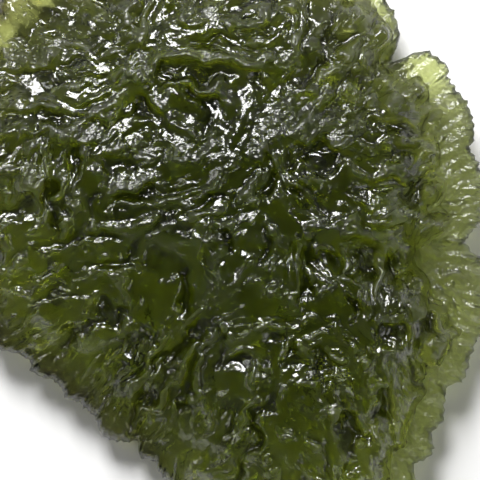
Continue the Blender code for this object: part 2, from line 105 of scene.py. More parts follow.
# Plan points are in steps of PLAN_STEP mm, x to the right and y downward.
RIM: Line = (
    (392, 0), (400, 18), (402, 38), (396, 58), (408, 53), (425, 47), (441, 53), (452, 64), (451, 76),
    (460, 90), (472, 103), (478, 122), (478, 138), (473, 145), (480, 156), (486, 175), (489, 195),
    (486, 215), (478, 229), (469, 240), (476, 250), (486, 262), (491, 285), (490, 310), (485, 335),
    (477, 356), (467, 382), (451, 391), (449, 405), (446, 427), (437, 437), (437, 452), (430, 462),
    (419, 467), (418, 481), (420, 493), (408, 503), (407, 517), (392, 522), (383, 536), (366, 535),
    (350, 550), (330, 545), (310, 559), (290, 549), (268, 556), (250, 541), (232, 540), (222, 525),
    (204, 520), (193, 505), (176, 498), (168, 487), (158, 478), (152, 469), (138, 462), (135, 447),
    (120, 448), (104, 443), (89, 419), (75, 406), (64, 402), (54, 388), (30, 377), (26, 365), (3, 354),
    (-12, 346), (-20, 330), (-36, 324), (-40, 308), (-55, 298), (-58, 282), (-70, 270), (-68, 250),
    (-77, 234), (-70, 214), (-76, 196), (-73, 176), (-82, 160), (-76, 140), (-67, 128), (-71, 108),
    (-60, 94), (-60, 74), (-46, 64), (-44, 42), (-28, 34), (-24, 14), (-8, 6), (-2, -14), (16, -18),
    (26, -36), (46, -34), (58, -52), (80, -51), (94, -67), (114, -60), (136, -75), (160, -67), (182, -79),
    (206, -69), (228, -77), (250, -65), (276, -69), (292, -55), (314, -57), (330, -41), (352, -39),
    (362, -23), (384, -17),
)

LEDGE: Line = (
    (378, 8), (388, 35), (384, 60), (390, 78), (408, 80), (424, 84), (431, 100), (439, 126), (441, 150),
    (437, 170), (440, 192), (447, 212), (440, 228), (424, 244), (413, 262), (424, 282), (441, 303),
    (452, 325), (449, 350), (437, 368), (428, 384), (424, 402), (413, 420), (404, 440), (396, 458),
    (388, 478), (370, 505), (340, 526), (306, 536), (270, 532), (236, 516), (205, 494), (180, 474),
    (160, 455), (140, 436), (116, 424), (98, 404), (80, 388), (58, 370), (36, 352), (10, 334), (-8, 316),
    (-28, 290), (-46, 262), (-56, 232), (-56, 195), (-62, 152), (-56, 112), (-38, 72), (-18, 34), (10, 2),
    (48, -26), (92, -44), (142, -54), (200, -58), (252, -52), (300, -38), (338, -22), (362, -6),
)

LUMPS = tuple(Lump(*row) for row in (
    (250, 190, 70, 0.8), (385, 320, 60, 0.8), (20, 30, 70, -1.5), (95, 320, 60, 0.3), (300, 470, 70, 0.2),
    (330, 60, 70, -0.4), (180, 60, 50, 0.5), (30, 200, 60, 0.3),
))

PITS = tuple(Pit(*row) for row in (
    (76, 70, 17, 13, 0, 1.1, 0.5), (35, 84, 42, 13, 2, 1.2, 0.8), (45, 119, 60, 8, 4, 0.6, 0.0),
    (202, 77, 42, 13, -4, 1.3, 0.9), (206, 112, 24, 20, -50, 1.7, 0.5), (143, 112, 13, 14, 60, 1.3, 0.5),
    (75, 168, 26, 11, 85, 1.1, 0.5), (50, 192, 18, 7, 100, 0.9, 0.3), (122, 166, 20, 11, 10, 0.8, 0.6),
    (134, 198, 30, 8, 4, 1.2, 0.8), (172, 229, 28, 11, 12, 1.2, 0.3), (165, 265, 30, 20, -10, 0.8, 0.0),
    (222, 250, 20, 13, 60, 1.1, 0.3), (316, 163, 30, 19, -12, 2.3, 0.9), (271, 190, 16, 8, 85, 1.4, 0.3),
    (268, 160, 14, 8, -60, 1.2, 0.2), (412, 195, 20, 16, 20, 1.2, 0.4), (350, 205, 40, 26, -30, 0.8, 0.2),
    (388, 142, 40, 24, 0, 0.8, 0.4), (366, 268, 28, 10, 95, 1.3, 0.4), (391, 274, 22, 10, 92, 1.0, 0.4),
    (330, 262, 15, 11, -50, 1.0, 0.4), (388, 336, 17, 15, 60, 1.2, 0.5), (351, 309, 14, 9, -55, 1.0, 0.3),
    (427, 325, 20, 15, 70, 1.2, 0.5), (381, 415, 28, 16, 95, 1.3, 0.5), (350, 442, 30, 15, 110, 1.2, 0.5),
    (294, 356, 18, 11, 85, 1.3, 0.5), (316, 364, 17, 13, 0, 0.8, 0.2), (110, 318, 28, 20, 20, 1.1, 0.6),
    (240, 362, 22, 15, 20, 0.9, 0.3), (226, 425, 32, 22, 70, 0.8, 0.1), (420, 266, 24, 14, 80, 1.1, 0.2),
    (250, 90, 24, 14, 80, 0.8, 0.2), (334, 109, 13, 9, 0, 0.8, 0.2), (60, 20, 50, 18, -10, 0.9, 0.0),
    (20, 215, 24, 18, 40, 0.8, 0.3), (60, 350, 45, 14, 40, 0.7, 0.1), (310, 290, 12, 9, 30, 0.8, 0.3),
    (180, 405, 30, 14, 65, 0.7, 0.1), (320, 60, 40, 18, 60, 0.5, 0.1), (130, 355, 40, 16, 40, 0.8, 0.1),
    (300, 500, 34, 16, 80, 0.8, 0.2), (-20, 140, 26, 15, 80, 0.9, 0.3), (-15, 260, 26, 14, 60, 0.8, 0.3),
    (120, -25, 34, 14, 80, 0.7, 0.2), (230, -15, 30, 15, 95, 0.8, 0.2), (320, -15, 26, 13, 70, 0.7, 0.2),
))

BELLY_PITS = tuple(Pit(*row) for row in (
    (95, 120, 34, 20, 30, 0.8), (200, 90, 30, 22, -20, 0.9), (310, 110, 36, 20, 60, 0.8),
    (400, 170, 24, 30, 10, 0.6), (385, 290, 30, 22, -40, 0.8), (330, 390, 34, 22, -60, 0.9),
    (225, 425, 30, 24, 80, 0.9), (120, 370, 30, 22, 50, 0.8), (45, 280, 34, 20, 20, 0.7),
    (15, 190, 26, 22, -10, 0.6), (110, 30, 30, 18, -50, 0.6), (250, 10, 32, 16, 20, 0.6),
    (430, 380, 20, 16, 40, 0.4), (280, 500, 26, 18, 0, 0.6), (170, 160, 22, 14, 40, 0.6),
    (60, 230, 20, 12, 70, 0.5), (310, 210, 18, 24, 20, 0.6), (290, 320, 18, 14, 60, 0.6),
))

CRESTS = tuple(Crest(*row) for row in (
    (0.55, 0.7, ((0, 109), (30, 107), (62, 109), (85, 113), (100, 108), (118, 100), (138, 91))),
    (0.5, 0.7, ((0, 139), (20, 134), (40, 131), (60, 129), (80, 125), (100, 124))),
    (0.6, 0.7, ((118, 86), (140, 74), (152, 65), (162, 59), (180, 57), (200, 58), (240, 64), (262, 72))),
    (0.4, 0.5, ((125, 38), (140, 41), (147, 48), (165, 50), (185, 48), (205, 51), (225, 58))),
    (0.5, 0.6, ((120, 40), (135, 31), (147, 18), (152, 0))),
    (0.4, 0.5, ((168, 0), (180, 15), (195, 24), (205, 30), (215, 37))),
    (0.4, 0.5, ((162, 90), (180, 85), (200, 86), (214, 90))),
    (0.5, 0.6, ((168, 112), (183, 129), (203, 138), (226, 138))),
    (0.5, 0.6, ((205, 198), (222, 176), (238, 152))),
    (0.45, 0.5, ((202, 213), (222, 206), (240, 190))),
    (0.55, 0.7, ((110, 213), (140, 210), (165, 209), (185, 208), (197, 214), (203, 226), (204, 245),
                 (203, 266))),
    (0.8, 0.6, ((0, 270), (30, 258), (60, 250), (90, 248), (120, 243), (140, 230), (160, 219), (180, 216))),
    (0.5, 0.6, ((8, 338), (35, 316), (60, 297), (80, 284), (98, 276), (110, 277), (121, 285), (129, 300))),
    (0.4, 0.4, ((38, 284), (55, 273), (70, 266), (86, 262))),
    (0.7, 0.7, ((150, 350), (180, 324), (205, 306), (235, 278), (262, 254))),
    (0.5, 0.5, ((198, 332), (180, 364), (160, 395), (140, 422))),
    (0.5, 0.5, ((206, 336), (195, 370), (182, 403), (166, 436))),
    (0.45, 0.5, ((213, 340), (209, 368), (204, 402))),
    (0.5, 0.6, ((232, 324), (250, 330), (270, 327), (288, 324), (303, 322))),
    (0.55, 0.6, ((268, 330), (267, 350), (260, 380), (248, 415), (236, 450))),
    (0.5, 0.6, ((262, 138), (275, 162), (294, 184), (315, 205), (336, 222))),
    (0.4, 0.5, ((281, 142), (290, 162), (309, 183))),
    (0.45, 0.6, ((278, 232), (281, 260), (278, 292))),
    (0.45, 0.6, ((298, 236), (300, 268), (291, 302))),
    (0.4, 0.6, ((344, 240), (348, 265), (354, 285), (358, 302))),
    (0.4, 0.6, ((378, 240), (379, 265), (376, 297))),
    (0.45, 0.6, ((340, 302), (354, 325), (368, 347), (378, 358))),
    (0.4, 0.5, ((372, 318), (386, 313), (402, 322), (407, 338), (398, 352), (384, 357), (378, 348))),
    (0.4, 0.5, ((384, 357), (381, 375), (386, 392))),
    (0.4, 0.5, ((398, 358), (409, 378), (418, 400))),
    (0.45, 0.5, ((402, 415), (396, 430), (400, 446), (388, 456))),
    (0.45, 0.5, ((374, 430), (364, 445), (367, 461), (374, 478))),
    (0.45, 0.5, ((308, 424), (324, 450), (340, 480))),
    (0.45, 0.6, ((426, 300), (440, 312), (445, 330), (440, 350))),
    (0.5, 0.6, ((62, 240), (70, 220), (80, 198), (84, 176))),
    (0.45, 0.5, ((86, 236), (92, 216), (104, 196))),
    (0.4, 0.4, ((100, 150), (104, 172), (98, 195))),
    (0.4, 0.4, ((150, 160), (158, 180), (168, 196))),
    (0.4, 0.5, ((255, 166), (246, 180), (238, 196))),
    (0.4, 0.4, ((330, 320), (345, 340), (355, 365))),
))

# Narrow grooves, which cut into the face: negative heights. Their darkness is painted shade in the glass's
# colour.
GROOVES = tuple(Crest(*row) for row in (
    (0.3, -0.75, ((205, 322), (190, 333), (176, 346), (162, 358), (147, 370))),
    (0.3, -0.7, ((214, 324), (203, 340), (196, 358), (189, 378), (186, 402), (180, 420))),
    (0.35, -0.75, ((176, 350), (170, 368), (163, 385), (150, 404), (138, 418))),
    (0.28, -0.65, ((224, 322), (214, 342), (207, 366), (202, 392))),
    (0.3, -0.6, ((234, 332), (226, 345), (218, 362))),
    (0.32, -0.75, ((288, 334), (274, 341), (266, 352), (263, 366), (266, 380))),
    (0.3, -0.6, ((262, 226), (263, 244), (260, 260))),
    (0.3, -0.65, ((303, 262), (300, 280), (299, 302))),
    (0.3, -0.6, ((316, 236), (313, 250), (316, 264))),
    (0.32, -0.75, ((46, 176), (50, 192), (56, 212), (60, 236))),
    (0.28, -0.6, ((70, 190), (64, 208), (62, 222))),
    (0.28, -0.6, ((98, 198), (90, 214), (82, 232))),
    (0.28, -0.6, ((180, 268), (184, 286), (191, 303))),
    (0.28, -0.55, ((120, 262), (136, 242), (152, 232), (166, 222))),
    (0.28, -0.55, ((104, 208), (124, 212), (148, 211), (170, 214))),
    (0.3, -0.6, ((256, 414), (251, 436), (246, 462), (244, 480))),
    (0.3, -0.55, ((270, 386), (268, 404), (260, 420))),
    (0.25, -0.5, ((52, 244), (80, 241), (100, 237), (126, 238))),
    (0.25, -0.45, ((0, 262), (24, 256), (52, 250))),
    (0.25, -0.5, ((30, 310), (52, 300), (72, 296))),
    (0.25, -0.45, ((60, 350), (84, 330), (110, 318))),
    (0.25, -0.45, ((100, 400), (126, 380), (148, 356))),
    (0.28, -0.55, ((118, 430), (140, 404), (156, 386))),
    (0.25, -0.5, ((40, 118), (70, 120), (96, 116), (120, 106))),
    (0.25, -0.5, ((160, 64), (168, 78), (178, 84))),
    (0.28, -0.55, ((226, 206), (216, 196), (208, 200))),
    (0.28, -0.6, ((232, 200), (244, 186), (256, 168))),
    (0.28, -0.55, ((302, 190), (316, 206), (330, 216))),
    (0.25, -0.5, ((284, 176), (292, 190), (300, 200))),
    (0.25, -0.5, ((300, 60), (310, 30), (312, 0))),
    (0.25, -0.5, ((322, 60), (330, 36), (333, 10))),
    (0.25, -0.5, ((336, 56), (350, 36), (366, 18))),
    (0.25, -0.5, ((300, 92), (310, 76), (322, 62))),
    (0.25, -0.5, ((336, 96), (346, 80), (352, 66))),
    (0.25, -0.5, ((362, 92), (370, 76), (378, 62))),
    (0.3, -0.6, ((340, 400), (348, 420), (356, 436))),
    (0.3, -0.5, ((312, 430), (322, 450), (330, 476))),
    (0.25, -0.5, ((412, 366), (420, 382), (426, 396))),
))

# Thin threads of glass that shine along the face.
THREADS = tuple(Crest(*row) for row in (
    (0.2, 0.36, ((309, 2), (307, 18), (303, 32), (298, 48))),
    (0.2, 0.36, ((338, 6), (335, 20), (331, 36), (327, 50))),
    (0.2, 0.36, ((352, 10), (346, 26), (340, 42), (332, 58), (322, 74))),
    (0.2, 0.34, ((371, 12), (362, 20), (354, 27), (345, 38))),
    (0.2, 0.36, ((318, 96), (324, 84), (332, 70), (342, 58), (354, 44))),
    (0.2, 0.34, ((340, 92), (346, 80), (354, 68), (364, 56), (374, 48))),
    (0.2, 0.34, ((358, 98), (366, 86), (374, 76), (384, 68))),
    (0.2, 0.34, ((300, 104), (306, 92), (313, 80))), (0.2, 0.3, ((40, 283), (52, 276), (67, 268))),
    (0.2, 0.34, ((14, 300), (36, 288), (58, 280), (74, 276))),
    (0.2, 0.3, ((137, 393), (150, 376), (166, 352), (187, 327))),
    (0.2, 0.3, ((146, 418), (156, 398), (166, 380), (176, 358))),
    (0.2, 0.3, ((184, 398), (188, 380), (194, 362), (202, 344))),
    (0.2, 0.3, ((0, 262), (24, 256), (52, 250), (84, 246))),
    (0.2, 0.3, ((0, 107), (30, 106), (60, 107), (85, 111))), (0.2, 0.3, ((20, 133), (44, 130), (66, 127))),
    (0.2, 0.3, ((128, 4), (130, 14), (129, 26), (132, 34))), (0.2, 0.3, ((262, 30), (268, 16), (276, 2))),
    (0.2, 0.3, ((268, 262), (272, 248), (274, 232))), (0.2, 0.3, ((205, 240), (204, 254), (203, 266))),
    (0.2, 0.3, ((420, 262), (436, 258), (452, 254), (468, 252))),
    (0.2, 0.3, ((424, 276), (444, 276), (466, 278))), (0.2, 0.3, ((428, 288), (446, 296), (466, 306))),
    (0.2, 0.3, ((440, 170), (454, 176), (470, 184))), (0.2, 0.3, ((440, 128), (454, 126), (468, 120))),
    (0.2, 0.3, ((432, 110), (446, 102), (460, 96))),
))

# Crumpled raised patches that catch the light: x, y, half sizes, turn in degrees, strength.
CLUSTERS = tuple(Patch(*row) for row in (
    (28, 49, 30, 16, 0, 1.0), (52, 47, 10, 10, 0, 0.9), (75, 44, 16, 6, 0, 0.6), (90, 49, 8, 6, 0, 0.7),
    (108, 53, 12, 7, 0, 0.7), (125, 54, 6, 6, 0, 0.7), (145, 24, 9, 16, -20, 0.9), (132, 37, 9, 5, 10, 0.8),
    (140, 62, 24, 8, 35, 0.9), (138, 76, 20, 6, 30, 0.8), (118, 74, 10, 5, 20, 0.8),
    (205, 57, 40, 6, -4, 1.0), (168, 58, 12, 5, 10, 0.9), (112, 106, 24, 9, 28, 0.9),
    (72, 85, 9, 5, 0, 0.9), (92, 83, 9, 5, 10, 0.8), (5, 84, 9, 4, 0, 0.8), (85, 134, 38, 8, 5, 0.9),
    (35, 146, 10, 8, 0, 0.9), (60, 143, 5, 7, 0, 0.9), (84, 151, 7, 6, 0, 0.9), (118, 148, 9, 14, 0, 0.9),
    (196, 152, 26, 14, 0, 1.0), (150, 152, 14, 12, 0, 0.6), (214, 86, 7, 8, 0, 0.9),
    (166, 103, 7, 7, 0, 0.8), (172, 88, 10, 3, 0, 0.7), (300, 116, 38, 24, 0, 1.0),
    (275, 128, 16, 14, 0, 1.0), (342, 136, 16, 14, 0, 1.0), (318, 92, 16, 10, 20, 1.0),
    (256, 146, 12, 16, 0, 0.7), (250, 26, 16, 6, 0, 0.7), (262, 8, 12, 8, 0, 0.8), (270, 20, 10, 6, 0, 0.8),
    (262, 42, 12, 6, 0, 0.8), (248, 68, 14, 5, -15, 1.0), (265, 60, 14, 7, 0, 0.7), (290, 12, 8, 8, 0, 0.9),
    (288, 58, 9, 12, 0, 0.9), (296, 42, 6, 10, 0, 0.8), (315, 50, 14, 9, 25, 0.8),
    (328, 72, 12, 6, 30, 1.0), (347, 94, 8, 6, 0, 0.8), (355, 67, 7, 6, 0, 0.8), (362, 20, 18, 5, 42, 0.8),
    (345, 52, 12, 5, 55, 0.8), (375, 98, 10, 7, 20, 0.8), (392, 102, 12, 6, -10, 0.9),
    (388, 82, 10, 8, 30, 0.8), (400, 90, 10, 8, 0, 0.7), (430, 106, 14, 7, 20, 0.8),
    (388, 120, 10, 4, 0, 0.8), (366, 142, 5, 4, 0, 0.8), (208, 14, 14, 10, 0, 0.7),
    (230, 28, 12, 8, -30, 0.7), (186, 12, 6, 10, 0, 0.7), (130, 14, 6, 14, 10, 0.7),
    (10, 170, 16, 10, 0, 0.9), (34, 182, 10, 16, 0, 1.0), (3, 190, 6, 8, 0, 0.9), (62, 195, 7, 5, 0, 0.9),
    (96, 172, 6, 8, 40, 0.7), (128, 184, 24, 9, 14, 1.0), (58, 214, 6, 8, 40, 0.9),
    (78, 204, 5, 8, 30, 0.9), (66, 232, 7, 8, 0, 0.9), (90, 222, 7, 12, 30, 0.8), (108, 228, 8, 4, 0, 0.6),
    (106, 251, 8, 5, 0, 0.7), (172, 228, 24, 6, 8, 1.0), (154, 234, 10, 6, 20, 0.8),
    (5, 236, 9, 11, 0, 1.0), (15, 263, 5, 5, 0, 0.8), (218, 248, 9, 14, 0, 1.0), (226, 228, 18, 8, 10, 0.9),
    (253, 192, 10, 12, 0, 0.9), (246, 216, 10, 5, 10, 0.7), (186, 204, 10, 4, 0, 0.7),
    (214, 212, 10, 4, 15, 0.8), (270, 230, 10, 10, 0, 0.8), (268, 262, 10, 8, 0, 0.7),
    (312, 228, 6, 12, 0, 0.8), (345, 228, 24, 8, 0, 1.0), (380, 204, 18, 12, 0, 0.9),
    (396, 220, 14, 5, -10, 0.9), (366, 250, 13, 10, -30, 1.0), (395, 246, 7, 8, 0, 0.8),
    (398, 172, 26, 5, 0, 0.9), (428, 224, 9, 6, -30, 0.8), (450, 231, 9, 7, 0, 0.9),
    (456, 184, 16, 8, 10, 0.8), (463, 206, 8, 8, 0, 0.8), (278, 289, 10, 14, 25, 0.9),
    (256, 284, 8, 8, 0, 0.8), (325, 287, 10, 5, 0, 1.0), (345, 277, 8, 5, 0, 0.9), (312, 317, 9, 5, 0, 0.9),
    (293, 300, 6, 14, 0, 0.7), (224, 327, 8, 6, 0, 0.9), (211, 341, 8, 4, 0, 0.9), (292, 343, 7, 7, 0, 1.0),
    (304, 355, 7, 6, 0, 0.9), (316, 334, 7, 4, 0, 0.9), (332, 353, 9, 5, 0, 0.8), (305, 382, 12, 4, 0, 0.7),
    (264, 366, 5, 11, 15, 0.9), (256, 376, 8, 6, 0, 0.6), (358, 347, 6, 6, 0, 0.9),
    (362, 366, 10, 7, 20, 1.0), (378, 384, 5, 5, 0, 0.9), (413, 306, 10, 8, 20, 0.9),
    (418, 296, 10, 4, 0, 0.6), (436, 350, 11, 11, 0, 1.0), (452, 337, 6, 4, 0, 0.8),
    (326, 411, 12, 7, 10, 1.0), (284, 432, 8, 6, -30, 0.8), (311, 446, 9, 6, 0, 0.8),
    (369, 434, 5, 7, 0, 0.9), (275, 468, 12, 8, 20, 0.8), (266, 454, 5, 5, 0, 0.8),
    (84, 336, 12, 12, 0, 0.8), (94, 347, 10, 5, 10, 0.8), (125, 322, 9, 8, 0, 0.9),
    (195, 392, 5, 16, -10, 0.9), (181, 406, 5, 10, 0, 0.8), (90, 296, 9, 5, 20, 0.8),
    (42, 376, 8, 4, 0, 0.5), (112, 424, 10, 6, 30, 0.5), (283, 388, 5, 6, 0, 0.8),
    (124, 292, 5, 10, 30, 0.8), (128, 268, 12, 3, 0, 0.7),
))

# Where the folds are broad and round with sharp valleys between them: x, y, reach.
FURROWED: tuple[tuple[float, float, float], ...] = (
    (150, 395, 90), (205, 330, 60), (120, 240, 60), (60, 245, 60), (300, 270, 45), (270, 350, 40),
    (230, 430, 60), (80, 100, 45), (180, 205, 40), (300, 195, 35),
)

# Where the face is calm, with weak folds: x, y, half sizes, turn in degrees, strength.
CALM = tuple(Patch(*row) for row in (
    (35, 84, 44, 13, 2, 1.0), (45, 98, 60, 9, 2, 0.9), (45, 119, 60, 8, 4, 0.9), (60, 18, 60, 22, -8, 0.95),
    (76, 66, 16, 13, 0, 0.7), (200, 78, 40, 11, -4, 0.7), (206, 112, 24, 20, -50, 0.8),
    (316, 163, 30, 19, -12, 0.8), (150, 262, 50, 22, 10, 0.3), (110, 330, 40, 20, 30, 0.5),
    (50, 250, 55, 14, -12, 0.6), (385, 140, 42, 20, 0, 0.6), (350, 200, 40, 20, -30, 0.5),
    (240, 440, 60, 40, 60, 0.6), (60, 360, 50, 18, 40, 0.6), (190, 300, 40, 30, 40, 0.2),
    (178, 18, 32, 26, 0, 0.5), (420, 280, 24, 30, 0, 0.5), (300, 470, 60, 30, 0, 0.5),
))

GROOVES_RUN: tuple[tuple[float, float, float], ...] = (
    (30, 15, -35), (90, 15, -20), (140, 12, 80), (60, 60, 10), (60, 95, 2), (110, 105, 25), (150, 70, 40),
    (200, 58, -3), (250, 68, -15), (210, 110, -55), (175, 120, -50), (190, 158, 60), (235, 165, 52),
    (240, 120, 80), (255, 40, 5), (280, 20, 80), (310, 20, 83), (335, 35, 72), (350, 30, 50), (300, 60, 65),
    (322, 74, 55), (350, 82, 60), (380, 90, 58), (300, 115, 60), (335, 135, 20), (385, 140, 8), (430, 92, 50),
    (465, 110, 25), (445, 150, 5), (450, 182, 22), (455, 212, -12), (410, 195, 70), (390, 175, 0),
    (345, 200, -40), (300, 190, -48), (275, 160, -58), (310, 215, -35), (350, 225, -10), (20, 180, 55),
    (60, 180, 80), (80, 210, 68), (100, 170, 88), (130, 200, 2), (150, 212, 5), (180, 205, 0), (205, 240, 88),
    (170, 235, 15), (120, 245, 12), (60, 252, 14), (15, 265, 25), (40, 290, 38), (80, 275, 30), (20, 330, 45),
    (60, 330, 52), (120, 290, -45), (140, 320, -75), (100, 360, 48), (40, 370, 62), (80, 400, 50),
    (120, 410, 50), (150, 400, 58), (175, 390, 66), (200, 390, 84), (165, 350, 45), (200, 312, 38),
    (235, 282, 42), (190, 280, -72), (150, 270, 60), (225, 210, 20), (280, 260, 88), (298, 270, 90),
    (350, 270, -80), (378, 270, 92), (400, 260, -85), (330, 270, -50), (355, 325, -56), (325, 340, 10),
    (270, 327, -3), (245, 330, -10), (265, 360, 95), (250, 410, 75), (225, 440, 60), (290, 350, 60),
    (300, 430, -55), (325, 455, -60), (350, 440, -70), (380, 415, 92), (405, 380, -60), (415, 440, -52),
    (400, 465, -60), (440, 325, -75), (430, 360, -60), (460, 255, 22), (472, 285, -8), (465, 315, -40),
    (455, 345, -50), (390, 330, 60), (440, 420, -30), (240, 470, 35), (190, 450, 40), (160, 460, 45),
    (140, 440, 55), (320, 500, -75), (280, 520, -90), (360, 510, -60),
)


# The soft lights: name, place and size in metres, and watts.
SOFTBOXES: tuple[tuple[str, tuple[float, float, float], float, float], ...] = (
    ("key_light", (-0.1, 0.37, 0.34), 0.2, 5.2),
    ("side_light", (-0.4, 0.1, 0.28), 0.14, 0.5),
    ("low_light", (0.35, -0.25, 0.22), 0.2, 0.35),
    ("far_light", (0.3, 0.3, 0.2), 0.06, 0.4),
)


def plan_mm(points: Line) -> np.ndarray:
    """Turn plan points into millimetres from the stone's middle, x to the right and y upward.

    Args:
        points: Points in plan steps.

    Returns:
        One row of x and y for each point.
    """
    steps = np.asarray(points, dtype=float)
    return (steps - PLAN_MIDDLE) * (PLAN_STEP, -PLAN_STEP)


def rise(low: float, high: float, value: np.ndarray) -> np.ndarray:
    """Go smoothly from 0 at low to 1 at high."""
    share = np.clip((value - low) / (high - low), 0.0, 1.0)
    return share * share * (3.0 - 2.0 * share)


def across(pair: tuple[float, float], x: np.ndarray) -> np.ndarray:
    """Go from a pair's first value at the left of the stone to its second at the right."""
    return pair[0] + (pair[1] - pair[0]) * rise(-6.0, 14.0, x)


def ring_radius(points: Line, theta: np.ndarray) -> np.ndarray:
    """Read the radius of a closed line at some angles.

    Args:
        points: The line's plan points.
        theta: Angles about the stone's middle, in radians from -pi to pi.

    Returns:
        The radius in millimetres at each angle.
    """
    line = plan_mm(points)
    angle = np.arctan2(line[:, 1], line[:, 0])
    radius = np.hypot(line[:, 0], line[:, 1])
    order = np.argsort(angle)
    angle = angle[order]
    radius = np.tile(radius[order], 3)
    angle = np.concatenate([angle - 2.0 * math.pi, angle, angle + 2.0 * math.pi])
    slope = np.diff(radius) / np.diff(angle)
    same = slope[1:] * slope[:-1] > 0.0
    tangent = np.zeros(len(radius))
    tangent[1:-1] = np.where(same, 2.0 * slope[1:] * slope[:-1] / (slope[1:] + slope[:-1] + 1e-12), 0.0)
    left = np.clip(np.searchsorted(angle, theta) - 1, 0, len(angle) - 2)
    width = angle[left + 1] - angle[left]
    t = (theta - angle[left]) / width
    return (
        (1.0 + 2.0 * t) * (1.0 - t) ** 2 * radius[left]
        + t * (1.0 - t) ** 2 * width * tangent[left]
        + t * t * (3.0 - 2.0 * t) * radius[left + 1]
        - t * t * (1.0 - t) * width * tangent[left + 1]
    )


def curve_through(points: Line) -> np.ndarray:
    """Points in millimetres along a smooth curve through the plan points."""
    line = plan_mm(points)
    line = np.vstack([2.0 * line[0] - line[1], line, 2.0 * line[-1] - line[-2]])
    found = []
    for i in range(1, len(line) - 2):
        a, b, c, d = line[i - 1], line[i], line[i + 1], line[i + 2]
        for t in (0.0, 0.25, 0.5, 0.75):
            found.append(0.5 * (2.0 * b + (c - a) * t + (2.0 * a - 5.0 * b + 4.0 * c - d) * t ** 2
                                + (3.0 * b - a - 3.0 * c + d) * t ** 3))
    found.append(line[-2])
    return np.array(found)


def pit_relief(x: np.ndarray, y: np.ndarray, pit: Pit) -> np.ndarray:
    """Height of one scooped pit, gentle on its lower side and steep under a raised lip on its upper side.

    Args:
        x: Positions to the right, in millimetres.
        y: Positions upward in the plan.
        pit: The pit.

    Returns:
        The height at each position.
    """
    (mx, my), = plan_mm(((pit.x, pit.y),))
    cosine, sine = math.cos(math.radians(pit.turn)), math.sin(math.radians(pit.turn))
    dx, dy = x - mx, y - my
    u = (dx * cosine + dy * sine) / (pit.half_long * PLAN_STEP)
    v = (dy * cosine - dx * sine) / (pit.half_wide * PLAN_STEP)
    reach = np.hypot(u, v)
    upper = np.clip(dy / (pit.half_wide * PLAN_STEP), -1.0, 1.0)
    bowl = np.clip(1.0 - reach ** 2, 0.0, 1.0) ** (PIT_BLUNT - PIT_STEEPER_ABOVE * upper)
    height = -pit.depth * (1.0 + PIT_DEEPER_ABOVE * upper) * bowl
    if pit.lip:
        upward = rise(*LIP_UPWARD, dy / (np.hypot(dx, dy) + 1e-6))
        narrow = min(pit.half_long, pit.half_wide) * PLAN_STEP
        fall = np.exp(-np.clip(reach - 1.0, 0.0, None) * narrow / LIP_FADE)
        height = height + pit.lip * fall * upward * rise(*LIP_START, reach)
    return height


